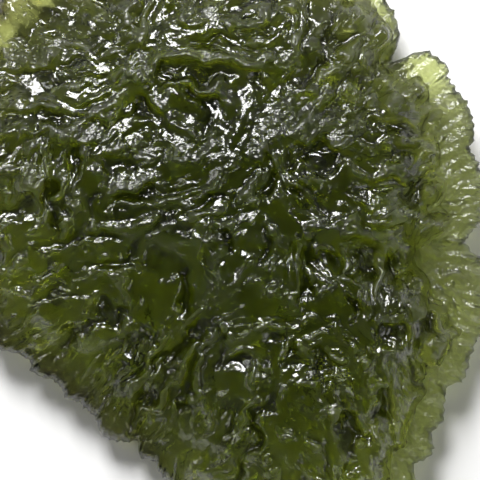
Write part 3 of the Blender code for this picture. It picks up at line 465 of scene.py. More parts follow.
@dataclass
class GrooveGrid:
    """A square plan grid that carries long grooves along the run of GROOVES_RUN."""

    cell: float
    side: int
    radial_pull: float = 3e-4
    run_area: float = 4.5
    band_reach: tuple[float, float] = (0.16, 0.42)
    x: np.ndarray = field(init=False)
    y: np.ndarray = field(init=False)
    flow_x: np.ndarray = field(init=False)
    flow_y: np.ndarray = field(init=False)
    double_x: np.ndarray = field(init=False)
    double_y: np.ndarray = field(init=False)

    def __post_init__(self) -> None:
        """Lay out the grid and work out which way the grooves run at each cell."""
        axis = (np.arange(self.side) + 0.5) * self.cell - 0.5 * self.side * self.cell
        self.x, self.y = np.meshgrid(axis, axis)
        radial = 2.0 * np.arctan2(self.y, self.x)
        along_x = self.radial_pull * np.cos(radial)
        along_y = self.radial_pull * np.sin(radial)
        for px, py, degrees in GROOVES_RUN:
            (mx, my), = plan_mm(((px, py),))
            weight = np.exp(-((self.x - mx) ** 2 + (self.y - my) ** 2) / self.run_area)
            along_x += weight * math.cos(2.0 * math.radians(degrees))
            along_y += weight * math.sin(2.0 * math.radians(degrees))
        turn = np.arctan2(along_y, along_x)
        self.double_x, self.double_y = np.cos(turn), np.sin(turn)
        self.flow_x, self.flow_y = np.cos(0.5 * turn), np.sin(0.5 * turn)

    def blurred(self, values: np.ndarray, reach: float) -> np.ndarray:
        """Soften a grid of values by reach, in millimetres."""
        wave = np.fft.fftfreq(self.side, self.cell)
        keep = np.exp(-2.0 * (math.pi * reach * wave) ** 2)
        return np.real(np.fft.ifft2(np.fft.fft2(values) * keep[:, None] * keep[None, :]))

    def cell_of(self, position: np.ndarray) -> np.ndarray:
        """Index of the grid cell that holds a position."""
        return np.clip((position / self.cell + 0.5 * self.side).astype(int), 0, self.side - 1)

    def block(self, low: np.ndarray, high: np.ndarray, margin: float) -> tuple[slice, slice]:
        """Find the part of the grid around a box.

        Args:
            low: The box's lowest x and y, in millimetres.
            high: Its highest x and y.
            margin: How much further the part reaches.

        Returns:
            The rows and the columns.
        """
        first = self.cell_of(np.asarray(low) - margin)
        last = self.cell_of(np.asarray(high) + margin) + 1
        return slice(first[1], last[1]), slice(first[0], last[0])

    def folds(self, seed: int, wide: float, long: float) -> np.ndarray:
        """Make long soft folds that follow the grooves' run.

        Args:
            seed: Which random pattern to draw.
            wide: Distance from fold to fold, in millimetres.
            long: How far a fold reaches each way, in millimetres.

        Returns:
            A grid of values with a spread of 1.
        """
        rough = np.random.default_rng(seed).standard_normal((self.side, self.side))
        narrow, broad = self.band_reach
        band = self.blurred(rough, narrow * wide) - self.blurred(rough, broad * wide)
        total = band.copy()
        steps = int(long / self.cell)
        for sign in (1.0, -1.0):
            x, y = self.x.copy(), self.y.copy()
            go_x, go_y = sign * self.flow_x, sign * self.flow_y
            for k in range(steps):
                x += go_x * self.cell
                y += go_y * self.cell
                column, row = self.cell_of(x), self.cell_of(y)
                next_x, next_y = self.flow_x[row, column], self.flow_y[row, column]
                turned = np.where(next_x * go_x + next_y * go_y < 0.0, -1.0, 1.0)
                go_x, go_y = next_x * turned, next_y * turned
                total += band[row, column] * 0.5 * (1.0 + math.cos(math.pi * (k + 1) / (steps + 1)))
        return total / total.std()

    def read(self, values: np.ndarray, x: np.ndarray, y: np.ndarray) -> np.ndarray:
        """Read a grid of values at the positions x, y."""
        u = np.clip(x / self.cell + 0.5 * self.side - 0.5, 0.0, self.side - 1.001)
        v = np.clip(y / self.cell + 0.5 * self.side - 0.5, 0.0, self.side - 1.001)
        column, row = u.astype(int), v.astype(int)
        du, dv = u - column, v - row
        return (
            values[row, column] * (1.0 - du) * (1.0 - dv) + values[row, column + 1] * du * (1.0 - dv)
            + values[row + 1, column] * (1.0 - du) * dv + values[row + 1, column + 1] * du * dv
        )


class NodeBench:
    """Adds nodes to a material and wires them together."""

    def __init__(self, material: bpy.types.Material) -> None:
        """Take hold of a new material's node tree."""
        material.use_nodes = True
        self.tree = material.node_tree
        self.shader = self.tree.nodes["Principled BSDF"]
        self.output = self.tree.nodes["Material Output"]

    def wire(self, start: bpy.types.NodeSocket, end: bpy.types.NodeSocket) -> None:
        """Wire an output to an input."""
        self.tree.links.new(start, end)

    def add(self, kind: str, values: dict, wires: dict) -> bpy.types.Node:
        """Add a node.

        Args:
            kind: The node's type.
            values: Constant inputs, by name.
            wires: Outputs wired to its inputs, by name.

        Returns:
            The new node.
        """
        node = self.tree.nodes.new(kind)
        for name, value in values.items():
            node.inputs[name].default_value = value
        for name, start in wires.items():
            self.wire(start, node.inputs[name])
        return node

    def carried(self, name: str) -> bpy.types.NodeSocket:
        """Read a value that the mesh carries at its points."""
        node = self.tree.nodes.new("ShaderNodeAttribute")
        node.attribute_name = name
        return node.outputs["Fac"]

    def sums(self, operation: str, first: object, second: object) -> bpy.types.NodeSocket:
        """Work out a sum of two sockets or numbers.

        Args:
            operation: The name of the sum.
            first: A socket or a number.
            second: A socket or a number.

        Returns:
            The result's socket.
        """
        node = self.tree.nodes.new("ShaderNodeMath")
        node.operation = operation
        for place, value in enumerate((first, second)):
            if isinstance(value, float):
                node.inputs[place].default_value = value
            else:
                self.wire(value, node.inputs[place])
        return node.outputs[0]

    def blend(self, share: bpy.types.NodeSocket, first: object, second: object) -> bpy.types.NodeSocket:
        """Blend two colours by a share.

        Args:
            share: 0 gives the first colour and 1 the second.
            first: A colour or its socket.
            second: A colour or its socket.

        Returns:
            The blended colour's socket.
        """
        node = self.tree.nodes.new("ShaderNodeMix")
        node.data_type = "RGBA"
        self.wire(share, node.inputs[0])
        for place, value in ((6, first), (7, second)):
            if isinstance(value, tuple):
                node.inputs[place].default_value = (*value, 1.0)
            else:
                self.wire(value, node.inputs[place])
        return node.outputs[2]


@dataclass(frozen=True)
class MoldaviteGlass:
    """See-through olive natural glass, clear in its hollows and crumpled on its raised patches; painted shade
    darkens its colour in pits, grooves and low places, and a painted sheen lightens its crest tops.
    """

    ior: float = 1.49
    tint: tuple[float, float, float] = (0.64, 0.7, 0.32)
    # Painted shade colour for the pits, grooves and low places of the face.
    painted_shade_tint: tuple[float, float, float] = (0.07, 0.075, 0.05)
    # Darker brown for patches along the left side of the rim.
    left_rim_brown_tint: tuple[float, float, float] = (0.1, 0.075, 0.02)
    # Lighter colour for the crest tops: a painted sheen; their wear shows in the roughness.
    painted_sheen_tint: tuple[float, float, float] = (0.95, 0.97, 0.8)
    absorbed: tuple[float, float, float] = (0.744, 0.764, 0.38)
    density: float = 420.0
    gloss: tuple[float, float] = (0.16, 0.21)
    worn_rough: float = 0.08
    crumpled_rough: float = 0.13
    ripple_depth: tuple[float, float] = (0.000038, 0.00011)
    streak_depth: tuple[float, float] = (0.000025, 0.0001)
    streak_runs: int = 6
    streak_power: float = 3.0
    left_rim_mottle: float = 1.7
    mottle_range: tuple[float, float] = (0.35, 0.7)
    mottle_scale: float = 420.0
    ripple_scale: float = 3100.0
    streak_scale: tuple[float, float, float] = (900.0, 4200.0, 900.0)

    def material(self, name: str) -> bpy.types.Material:
        """Build the glass.

        Args:
            name: The material's name.

        Returns:
            The finished material.
        """
        material = bpy.data.materials.new(name)
        bench = NodeBench(material)
        shader = bench.shader
        shader.inputs["IOR"].default_value = self.ior
        shader.inputs["Transmission Weight"].default_value = 1.0
        painted_shade, crumple = bench.carried("painted_shade"), bench.carried("crumple")
        wear_and_sheen, left_rim_brown = bench.carried("wear_and_sheen"), bench.carried("left_rim_brown")
        place = bench.tree.nodes.new("ShaderNodeTexCoord").outputs["Object"]

        mottle = bench.add("ShaderNodeTexNoise", {
            "Scale": self.mottle_scale, "Detail": 3.0}, {"Vector": place})
        # Darker brown patches along the left side of the rim.
        patchy = bench.sums("MULTIPLY", mottle.outputs["Fac"], self.left_rim_mottle)
        patchy = bench.sums("MULTIPLY", left_rim_brown, patchy)
        # Painted shade: the colour darkens in the pits, grooves and low places of the face.
        tone = bench.blend(painted_shade, self.tint, self.painted_shade_tint)
        # Painted sheen: the crest tops turn lighter in colour; their real wear is the extra roughness.
        tone = bench.blend(wear_and_sheen, tone, self.painted_sheen_tint)
        bench.wire(bench.blend(patchy, tone, self.left_rim_brown_tint), shader.inputs["Base Color"])

        matt = bench.add("ShaderNodeMapRange", {
            "From Min": self.mottle_range[0], "From Max": self.mottle_range[1],
            "To Min": self.gloss[0], "To Max": self.gloss[1],
        }, {"Value": mottle.outputs["Fac"]})
        rough = bench.sums("ADD", matt.outputs["Result"], bench.sums("MULTIPLY", wear_and_sheen, self.worn_rough))
        rough = bench.sums("ADD", rough, bench.sums("MULTIPLY", crumple, self.crumpled_rough))
        bench.wire(rough, shader.inputs["Roughness"])

        ripples = bench.add("ShaderNodeTexNoise", {
            "Scale": self.ripple_scale, "Detail": 1.0, "Roughness": 0.5}, {"Vector": place})
        ripple_depth = self.grown(bench, crumple, self.ripple_depth)
        streak_depth = self.grown(bench, crumple, self.streak_depth)
        skin = bench.sums(
            "ADD", bench.sums("MULTIPLY", ripples.outputs["Fac"], ripple_depth),
            bench.sums("MULTIPLY", self.streaks(bench, place), streak_depth))
        bump = bench.add("ShaderNodeBump", {"Strength": 1.0, "Distance": MM}, {"Height": skin})
        bench.wire(bump.outputs["Normal"], shader.inputs["Normal"])

        depth = bench.add("ShaderNodeVolumeAbsorption", {
            "Color": (*self.absorbed, 1.0), "Density": self.density}, {})
        bench.wire(depth.outputs["Volume"], bench.output.inputs["Volume"])
        return material

    @staticmethod
    def grown(
            bench: NodeBench, share: bpy.types.NodeSocket,
            depth: tuple[float, float]) -> bpy.types.NodeSocket:
        """Grow a depth from its plain value, in millimetres, to its crumpled one by a share."""
        low, high = depth[0] / MM, depth[1] / MM
        return bench.sums("ADD", bench.sums("MULTIPLY", share, high - low), low)

    def streaks(self, bench: NodeBench, place: bpy.types.NodeSocket) -> bpy.types.NodeSocket:
        """Lay fine streaks along the run of the grooves.

        Args:
            bench: The material's bench.
            place: The place on the stone.

        Returns:
            The streaks' height, around 0.5.
        """
        run_x, run_y = bench.carried("run_x"), bench.carried("run_y")
        total, weight = None, None
        for k in range(self.streak_runs):
            turn = math.pi * k / self.streak_runs
            mapping = bench.add("ShaderNodeMapping", {
                "Rotation": (0.0, 0.0, -turn), "Scale": self.streak_scale}, {"Vector": place})
            mapping.vector_type = "POINT"
            lines = bench.add("ShaderNodeTexNoise", {
                "Scale": 1.0, "Detail": 1.0}, {"Vector": mapping.outputs["Vector"]})
            share = bench.sums(
                "ADD", bench.sums("MULTIPLY", run_x, math.cos(2.0 * turn)),
                bench.sums("MULTIPLY", run_y, math.sin(2.0 * turn)))
            share = bench.sums("POWER", bench.sums("MAXIMUM", share, 0.0), self.streak_power)
            part = bench.sums("MULTIPLY", share, lines.outputs["Fac"])
            total = part if total is None else bench.sums("ADD", total, part)
            weight = share if weight is None else bench.sums("ADD", weight, share)
        return bench.sums("DIVIDE", total, bench.sums("MAXIMUM", weight, 0.05))


@dataclass
class FaceSculpture:
    """The face's pits, crests, grooves, folds and crumpled patches, as heights on a plan grid, with a mask of
    painted shade for its low places and one of wear and painted sheen for its crest tops.
    """

    coarse: GrooveGrid
    fine: GrooveGrid
    fold_high: float = 0.2
    pit_deep: float = 0.45
    calm_pits: float = 0.65
    crest_share: float = 0.5
    crest_slim: float = 0.6
    thread_share: float = 0.6
    fold_wide: float = 2.7
    fold_long: float = 4.2
    crest_limit: float = 0.95
    furrow_high: float = 0.058
    furrow_wide: float = 1.25
    fan_gain: float = 2.0
    thread_high: float = 0.022
    thread_wide: float = 0.62
    crumple_high: tuple[float, float] = (0.1, 0.05)
    crumple_wide: tuple[float, float] = (0.9, 0.45)
    crumple_least: float = 0.1
    broad_warp: float = 0.26
    warp_wide: float = 3.0
    small_warp: float = 0.07
    small_warp_wide: float = 1.1
    groove_share: float = 0.75
    fold_middle: float = 0.8
    cluster_high: float = 0.2
    cluster_lean: float = 0.35
    lean_reach: float = 0.8
    furrow_long: float = 2.0
    thread_long: float = 1.0
    crumple_long: tuple[float, float] = (0.4, 0.2)
    busy_middle: float = 0.8
    busy_spread: float = 0.35
    busy_wide: float = 7.0
    busy_limits: tuple[float, float] = (0.2, 1.5)
    local_reach: tuple[float, float] = (0.7, 0.06)
    low_full: float = 0.19
    low_power: float = 1.2
    pit_soft: float = 0.12
    pit_full: float = 0.75
    cut_full: float = 0.4
    painted_shade_shares: tuple[float, float, float, float] = (0.6, 0.75, 0.7, 0.3)
    worn_full: float = 0.22
    worn_least: float = 0.25
    worn_crumple: float = 0.5
    pit_margin: float = 3.2
    crest_margin: tuple[float, float] = (4.0, 0.8)
    crest_power: float = 1.6
    taper_least: float = 0.35
    taper_reach: float = 0.12
    patch_margin: tuple[float, float] = (1.9, 0.6)
    patch_fall: float = 0.7
    warped_x: np.ndarray = field(init=False)
    warped_y: np.ndarray = field(init=False)
    relief: np.ndarray = field(init=False)
    painted_shade: np.ndarray = field(init=False)
    crumple: np.ndarray = field(init=False)
    wear_and_sheen: np.ndarray = field(init=False)
    folds: np.ndarray = field(init=False)

    def __post_init__(self) -> None:
        """Work out the whole face."""
        grid, coarse = self.fine, self.coarse
        self.warped_x = grid.x + self.small_warp * grid.folds(23, self.small_warp_wide, 0.0)
        self.warped_y = grid.y + self.small_warp * grid.folds(24, self.small_warp_wide, 0.0)
        self.warped_x += self.broad_warp * coarse.read(coarse.folds(21, self.warp_wide, 0.0), grid.x, grid.y)
        self.warped_y += self.broad_warp * coarse.read(coarse.folds(22, self.warp_wide, 0.0), grid.x, grid.y)
        self.folds = self.coarse.folds(1, self.fold_wide, self.fold_long)
        scoops = np.zeros(grid.x.shape)
        for pit in PITS:
            self.add_pit(scoops, pit)
        cuts = np.zeros(grid.x.shape)
        for groove in GROOVES:
            self.add_crest(cuts, groove, 1.0, self.groove_share)
        calm = np.zeros(grid.x.shape)
        for zone in CALM:
            block, window = self.spread(zone)
            calm[block] = np.maximum(calm[block], zone.strength * window)
        relief = scoops * (1.0 - self.calm_pits * calm) + cuts
        for crest in CRESTS:
            self.add_crest(relief, crest, self.crest_slim, self.crest_share)
        for thread in THREADS:
            self.add_crest(relief, thread, 1.0, self.thread_share)
        crumpled = np.zeros(grid.x.shape)
        for cluster in CLUSTERS:
            self.add_cluster(relief, crumpled, cluster)
        self.crumple = np.clip(crumpled, 0.0, 1.0)

        sharp_valleys = np.zeros(grid.x.shape)
        for px, py, reach in FURROWED:
            (mx, my), = plan_mm(((px, py),))
            away = ((grid.x - mx) ** 2 + (grid.y - my) ** 2) / (reach * PLAN_STEP) ** 2
            sharp_valleys = np.maximum(sharp_valleys, np.exp(-away ** 2))
        sign = 1.0 - 2.0 * sharp_valleys
        broad_folds = self.coarse.read(self.folds, self.warped_x, self.warped_y)
        relief = relief + self.fold_high * (self.fold_middle - np.abs(broad_folds)) * sign
        relief = np.where(relief > 0.0, self.crest_limit * np.tanh(relief / self.crest_limit), relief)
        busy = self.busy_middle + self.busy_spread * grid.folds(11, self.busy_wide, 0.0)
        busy = np.clip(busy, *self.busy_limits) * (1.0 - calm)
        furrows = self.furrow_high * (1.0 + self.fan_gain * sharp_valleys)
        relief = relief + busy * sign * furrows * self.ridges(2, self.furrow_wide, self.furrow_long)
        relief = relief + busy * sign * self.thread_high * self.ridges(3, self.thread_wide, self.thread_long)
        rough = self.crumple_high[0] * self.ridges(5, self.crumple_wide[0], self.crumple_long[0])
        rough = rough + self.crumple_high[1] * self.ridges(6, self.crumple_wide[1], self.crumple_long[1])
        relief = relief + (self.crumple_least + self.crumple) * rough
        self.relief = relief

        # Painted shade mask: dark in low places, pits and grooves, lighter on crumpled patches.
        local = relief - grid.blurred(relief, self.local_reach[0])
        local = grid.blurred(local, self.local_reach[1])
        low = np.clip(-local / self.low_full, 0.0, 1.0) ** self.low_power
        deep = np.clip(-grid.blurred(scoops, self.pit_soft) / self.pit_full, 0.0, 1.0)
        cut = np.clip(-cuts / self.cut_full, 0.0, 1.0)
        of_low, of_pits, of_cuts, of_crumple = self.painted_shade_shares
        painted_shade = of_low * low + of_pits * deep + of_cuts * cut - of_crumple * self.crumple
        self.painted_shade = np.clip(painted_shade, 0.0, 1.0)
        # Crest tops: worn, rougher glass, and a painted sheen in the colour.
        self.wear_and_sheen = np.clip(local / self.worn_full - self.worn_least, 0.0, 1.0)
        self.crumple = np.maximum(self.crumple, self.worn_crumple * self.wear_and_sheen)

    def ridges(self, seed: int, wide: float, long: float) -> np.ndarray:
        """Turn folds of this seed, width and length into ridges with their middle height at 0."""
        return self.fold_middle - np.abs(self.fine.folds(seed, wide, long))

    def add_pit(self, heights: np.ndarray, pit: Pit) -> None:
        """Scoop one pit into the heights around it."""
        (mx, my), = plan_mm(((pit.x, pit.y),))
        margin = max(pit.half_long, pit.half_wide) * PLAN_STEP + self.pit_margin
        block = self.fine.block((mx, my), (mx, my), margin)
        heights[block] += self.pit_deep * pit_relief(self.warped_x[block], self.warped_y[block], pit)

    def add_crest(self, heights: np.ndarray, crest: Crest, slim: float, share_high: float) -> None:
        """Add one crest or groove, tapering at its ends, to the heights around it.

        Args:
            heights: The heights that it is added to.
            crest: The crest or groove.
            slim: Share of its width.
            share_high: Share of its height.
        """
        line = curve_through(crest.points)
        margin = self.crest_margin[0] * crest.half_wide + self.crest_margin[1]
        block = self.fine.block(line.min(axis=0), line.max(axis=0), margin)
        x, y = self.warped_x[block], self.warped_y[block]
        nearest = np.full(x.shape, np.inf)
        share = np.zeros(x.shape)
        count = len(line) - 1
        for i in range(count):
            start = line[i]
            step = line[i + 1] - start
            t = np.clip(((x - start[0]) * step[0] + (y - start[1]) * step[1]) / (step @ step), 0.0, 1.0)
            distance = np.hypot(x - start[0] - t * step[0], y - start[1] - t * step[1])
            closer = distance < nearest
            nearest = np.where(closer, distance, nearest)
            share = np.where(closer, (i + t) / count, share)
        ends = rise(0.0, self.taper_reach, share), rise(0.0, self.taper_reach, 1.0 - share)
        taper = self.taper_least + (1.0 - self.taper_least) * ends[0] * ends[1]
        profile = np.exp(-(nearest / (slim * crest.half_wide)) ** self.crest_power)
        heights[block] += share_high * crest.high * taper * profile

    def spread(self, patch: Patch) -> tuple[tuple[slice, slice], np.ndarray]:
        """Find a patch's part of the grid and its weight there.

        Args:
            patch: The patch.

        Returns:
            The rows and columns, and the weight from 0 to 1.
        """
        (mx, my), = plan_mm(((patch.x, patch.y),))
        margin = self.patch_margin[0] * max(patch.half_x, patch.half_y) * PLAN_STEP + self.patch_margin[1]
        block = self.fine.block((mx, my), (mx, my), margin)
        cosine, sine = math.cos(math.radians(patch.turn)), math.sin(math.radians(patch.turn))
        dx, dy = self.warped_x[block] - mx, self.warped_y[block] - my
        u = (dx * cosine + dy * sine) / (patch.half_x * PLAN_STEP)
        v = (dy * cosine - dx * sine) / (patch.half_y * PLAN_STEP)
        return block, np.exp(-self.patch_fall * (u * u + v * v) ** 2)

    def add_cluster(self, heights: np.ndarray, crumpled: np.ndarray, cluster: Patch) -> None:
        """Raise one crumpled patch that leans to the upper side.

        Args:
            heights: The heights that it is added to.
            crumpled: The strength of the crumpling, which it is added to.
            cluster: The patch.
        """
        block, window = self.spread(cluster)
        (_, my), = plan_mm(((cluster.x, cluster.y),))
        dy = self.warped_y[block] - my
        lift = self.cluster_high - self.cluster_lean * np.clip(dy, -self.lean_reach, self.lean_reach)
        heights[block] += cluster.strength * window * lift
        crumpled[block] = np.maximum(crumpled[block], cluster.strength * window)


@dataclass
class Moldavite:
    """The stone: a lens of glass with a thin serrated rim, a sculpted face and a pitted belly."""

    node: str = "moldavite"
    rim_height: float = 2.6
    edge_half: tuple[float, float] = (1.0, 0.34)
    edge_reach: tuple[float, float] = (0.3, 1.4)
    rim_crinkle: float = 0.4
    rim_crinkle_reach: float = 1.6
    rim_slope: tuple[float, float] = (0.2, 0.06)
    ledge_high: tuple[float, float] = (0.2, 1.75)
    dome_rise: tuple[float, float] = (4.0, 4.4)
    dome_reach: tuple[float, float] = (7.0, 4.6)
    dome_start: tuple[float, float] = (3.0, 0.6)
    belly_power: float = 1.6
    belly_drop: float = 0.18
    rest_share: tuple[float, float] = (0.2, 0.38)
    least_thick: float = 1.1
    belly_fold_high: float = 0.3
    flute_high: float = 0.02
    ledge_fray: float = 0.4
    ledge_wide: tuple[float, float] = (-0.8, 1.4)
    flake_high: float = 0.2
    flute_reach: float = 1.5
    flake_wide: float = 0.8
    flake_long: float = 0.6
    left_rim_strength: float = 1.3
    left_rim_reach: float = 1.7
    painted_shade_fade: float = 0.65
    tooth_high: float = 0.42
    swell_high: float = 0.2
    tooth_level: float = 0.3
    tooth_power: int = 20
    coarse_cell: float = 0.15
    fine_cell: float = 0.08
    grid_wide: float = 57.0
    coarse_divisions: int = 100
    belly_share_kept: float = 0.24
    rim_lean: float = 0.3
    rim_lean_at: float = math.radians(130.0)
    rim_waves: Waves = ((0.4, 1.0, 0.6), (0.3, 2.0, 1.9), (0.18, 5.0, 0.4), (0.1, 11.0, 0.0))
    tooth_wide: tuple[float, float] = (0.014, 0.04)
    tooth_tall: tuple[float, float] = (0.2, 1.0)
    tooth_lean: tuple[float, float] = (0.35, 0.75)
    tooth_notch: tuple[float, float] = (0.0, 0.3)
    swell_count: float = 13.0
    swell_waves: Waves = ((1.4, 3.0, 0.5), (0.8, 7.0, 0.0))
    flute_start: tuple[float, float] = (0.0, 0.3)
    flake_start: tuple[float, float] = (0.0, 0.4)
    relief_start: tuple[float, float] = (0.05, 2.0)
    belly_fold_start: tuple[float, float] = (0.2, 2.5)
    belly_pit_start: tuple[float, float] = (0.0, 2.5)
    belly_furrow_middle: float = 1.2
    belly_crumple: float = 0.3
    lump_start: tuple[float, float] = (0.0, 3.0)
    flange_ledge: tuple[float, float] = (-0.8, 0.4)
    flange_side: tuple[float, float] = (0.0, 9.0)
    left_rim_side: tuple[float, float] = (-9.0, 6.0)
    rim_slope_reach: float = 5.0
    least_thick_reach: float = 0.5
    seam_half: float = 1e-6
    belly_from: float = -0.004
    middle: np.ndarray = field(default_factory=lambda: np.zeros(3))

    def divided_octahedron(self) -> bpy.types.Object:
        """Make an octahedron of radius 1 whose faces are divided into small triangles."""
        bpy.ops.object.select_all(action="DESELECT")
        bpy.ops.mesh.primitive_cone_add(
            vertices=4, radius1=1.0, radius2=0.0, depth=1.0, end_fill_type="NOTHING",
            location=(0.0, 0.0, 0.5))
        stone = bpy.context.object
        stone.name = stone.data.name = "moldavite_stone"
        bpy.ops.object.transform_apply(location=True, rotation=False, scale=False)
        mirror = stone.modifiers.new("Lower half", "MIRROR")
        mirror.use_axis = (False, False, True)
        mirror.merge_threshold = 0.0001
        bpy.ops.object.modifier_apply(modifier=mirror.name)
        bpy.ops.object.mode_set(mode="EDIT")
        bpy.ops.mesh.select_all(action="SELECT")
        bpy.ops.mesh.normals_make_consistent(inside=False)
        bpy.ops.mesh.subdivide(number_cuts=self.coarse_divisions - 1)
        bpy.ops.mesh.subdivide(number_cuts=1)
        bpy.ops.object.mode_set(mode="OBJECT")
        return stone

    def teeth(self, theta: np.ndarray) -> tuple[np.ndarray, np.ndarray]:
        """Uneven teeth around the rim.

        Args:
            theta: Angles about the stone's middle.

        Returns:
            How far the rim stands out at each angle in millimetres, and the same from 0 to 1 for the flutes.
        """
        draw = np.random.default_rng(5)
        knots, heights = [0.0], [0.0]
        while knots[-1] < 2.0 * math.pi:
            wide = draw.uniform(*self.tooth_wide)
            tall = draw.uniform(*self.tooth_tall)
            lean = draw.uniform(*self.tooth_lean)
            knots += [knots[-1] + wide * lean, knots[-1] + wide]
            heights += [tall, draw.uniform(*self.tooth_notch) * tall]
        knots = np.array(knots) * (2.0 * math.pi / knots[-1])
        heights[-1] = heights[0]
        saw = np.interp(theta % (2.0 * math.pi), knots, heights)
        broad = self.swell_count * theta
        for high, times, start in self.swell_waves:
            broad = broad + high * np.sin(times * theta + start)
        swell = 1.0 - np.abs(2.0 * ((broad / math.pi) % 1.0) - 1.0)
        return self.tooth_high * saw + self.swell_high * swell - self.tooth_level, saw

    def shaped(self, octahedron: np.ndarray) -> tuple[np.ndarray, dict[str, np.ndarray]]:
        """Move the points of the divided octahedron onto the stone's surface.

        Args:
            octahedron: Points with |x| + |y| + |z| of 1.

        Returns:
            The same points on the stone in millimetres, and what the glass reads at each of them.
        """
        flat_x, flat_y, flat_z = octahedron.T
        share = np.abs(flat_x) + np.abs(flat_y)
        quarter = np.abs(flat_y) / np.maximum(share, 1e-9) * 0.5 * math.pi
        quarter = np.where(flat_x < 0.0, math.pi - quarter, quarter)
        theta = np.where(flat_y < 0.0, -quarter, quarter)
        theta = theta + self.rim_lean * (np.sin(theta - self.rim_lean_at) + math.sin(self.rim_lean_at))
        theta = (theta + math.pi) % (2.0 * math.pi) - math.pi

        coarse = GrooveGrid(self.coarse_cell, int(self.grid_wide / self.coarse_cell + 0.5))
        fine = GrooveGrid(self.fine_cell, int(self.grid_wide / self.fine_cell))
        sculpture = FaceSculpture(coarse, fine)
        rim = ring_radius(RIM, theta)
        at_rim = coarse.read(sculpture.folds, rim * np.cos(theta), rim * np.sin(theta))
        crinkle = sculpture.fold_middle - np.abs(at_rim)
        outward, saw = self.teeth(theta)
        radius = share * rim + share ** self.tooth_power * outward
        rim = rim + outward
        x, y = radius * np.cos(theta), radius * np.sin(theta)
        inward = rim - radius
        past_ledge = ring_radius(LEDGE, theta) - radius
        fray = coarse.read(coarse.folds(9, sculpture.warp_wide, 0.0), x, y)
        past_ledge = past_ledge + self.ledge_fray * fray
        edge = across(self.edge_half, x) * (1.0 - np.exp(-inward / across(self.edge_reach, x)))
        level = np.full(theta.shape, self.rim_height)
        for high, times, start in self.rim_waves:
            level = level + high * np.sin(times * theta + start)
        fade = np.exp(-inward / self.rim_crinkle_reach)
        level = level + self.rim_crinkle * np.clip(crinkle, -1.0, 1.0) * fade
        flutes = self.flute_high * (saw - 0.5) * np.exp(-inward / self.flute_reach)
        flutes = flutes * rise(*self.flute_start, inward)

        swell = share ** self.belly_power
        belly = swell * (level - edge) - self.belly_drop * (1.0 - swell)
        around_rest = rise(*self.rest_share, share)
        near_rim = rise(*self.belly_fold_start, inward)
        for pit in BELLY_PITS:
            belly = belly - pit_relief(x, y, pit) * around_rest * rise(*self.belly_pit_start, inward)
        under = coarse.read(coarse.folds(7, sculpture.fold_wide, sculpture.fold_long), x, y)
        ridges = sculpture.fold_middle - np.abs(under)
        belly = belly + self.belly_fold_high * ridges * around_rest * near_rim
        under = fine.read(fine.folds(8, sculpture.furrow_wide, sculpture.furrow_long), x, y)
        ridges = self.belly_furrow_middle - np.abs(under)
        belly = belly + sculpture.furrow_high * ridges * around_rest * near_rim
        belly = np.maximum(belly - flutes, 0.0)

        face = level + edge + across(self.rim_slope, x) * np.minimum(inward, self.rim_slope_reach)
        face = face + across(self.ledge_high, x) * rise(*self.ledge_wide, past_ledge)
        onto_dome = np.maximum(past_ledge, 0.0)
        onto_dome = onto_dome ** 2 / (onto_dome + across(self.dome_start, x))
        dome = 1.0 - np.exp(-onto_dome / across(self.dome_reach, x))
        face = face + across(self.dome_rise, x) * dome
        for lump in LUMPS:
            (mx, my), = plan_mm(((lump.x, lump.y),))
            away = ((x - mx) ** 2 + (y - my) ** 2) / (lump.reach * PLAN_STEP) ** 2
            face = face + lump.high * np.exp(-away) * rise(*self.lump_start, past_ledge)
        flange = (1.0 - rise(*self.flange_ledge, past_ledge)) * rise(*self.flange_side, x)
        flakes = fine.read(fine.folds(10, self.flake_wide, self.flake_long), x, y)
        flakes = self.flake_high * (sculpture.fold_middle - np.abs(flakes))
        flakes = flakes * flange * rise(*self.flake_start, inward)
        relief = fine.read(sculpture.relief, x, y) * rise(*self.relief_start, inward)
        face = face + relief + flutes + flakes
        thick = self.least_thick * (1.0 - np.exp(-inward / self.least_thick_reach))
        face = np.maximum(face, belly + thick)

        above = flat_z > -self.seam_half
        # The left side of the rim is tinted darker brown, in patches, fading inward.
        left_rim = np.clip(self.left_rim_strength * np.exp(-inward / self.left_rim_reach), 0.0, 1.0)
        left_rim = left_rim * (1.0 - rise(*self.left_rim_side, x))
        crumple = np.maximum(fine.read(sculpture.crumple, x, y), flange)
        # Painted shade in the face's hollows, weaker on the thin flange.
        painted_shade = fine.read(sculpture.painted_shade, x, y) * (1.0 - self.painted_shade_fade * flange)
        carried = {
            "painted_shade": np.where(above, painted_shade, 0.0),
            "crumple": np.where(above, crumple, self.belly_crumple),
            "wear_and_sheen": np.where(above, fine.read(sculpture.wear_and_sheen, x, y), 0.0),
            "left_rim_brown": left_rim,
            "run_x": fine.read(fine.double_x, x, y),
            "run_y": fine.read(fine.double_y, x, y),
        }
        z = np.where(flat_z > self.seam_half, face, np.where(flat_z < -self.seam_half, belly, level))
        return np.column_stack([x, y, z]), carried

    def build(self) -> bpy.types.Object:
        """Shape the stone where its solid lies.

        Returns:
            The stone's mesh object, at the origin.
        """
        stone = self.divided_octahedron()
        mesh = stone.data
        points = np.empty(len(mesh.vertices) * 3)
        mesh.vertices.foreach_get("co", points)
        octahedron = points.reshape(-1, 3)
        shaped, carried = self.shaped(octahedron)
        middle = 0.5 * (shaped.min(axis=0) + shaped.max(axis=0))
        self.middle = np.array([middle[0], middle[1], 0.0])
        shaped = (shaped - self.middle) * MM
        mesh.vertices.foreach_set("co", shaped.ravel())
        for name, values in carried.items():
            mesh.attributes.new(name, "FLOAT", "POINT").data.foreach_set("value", values)

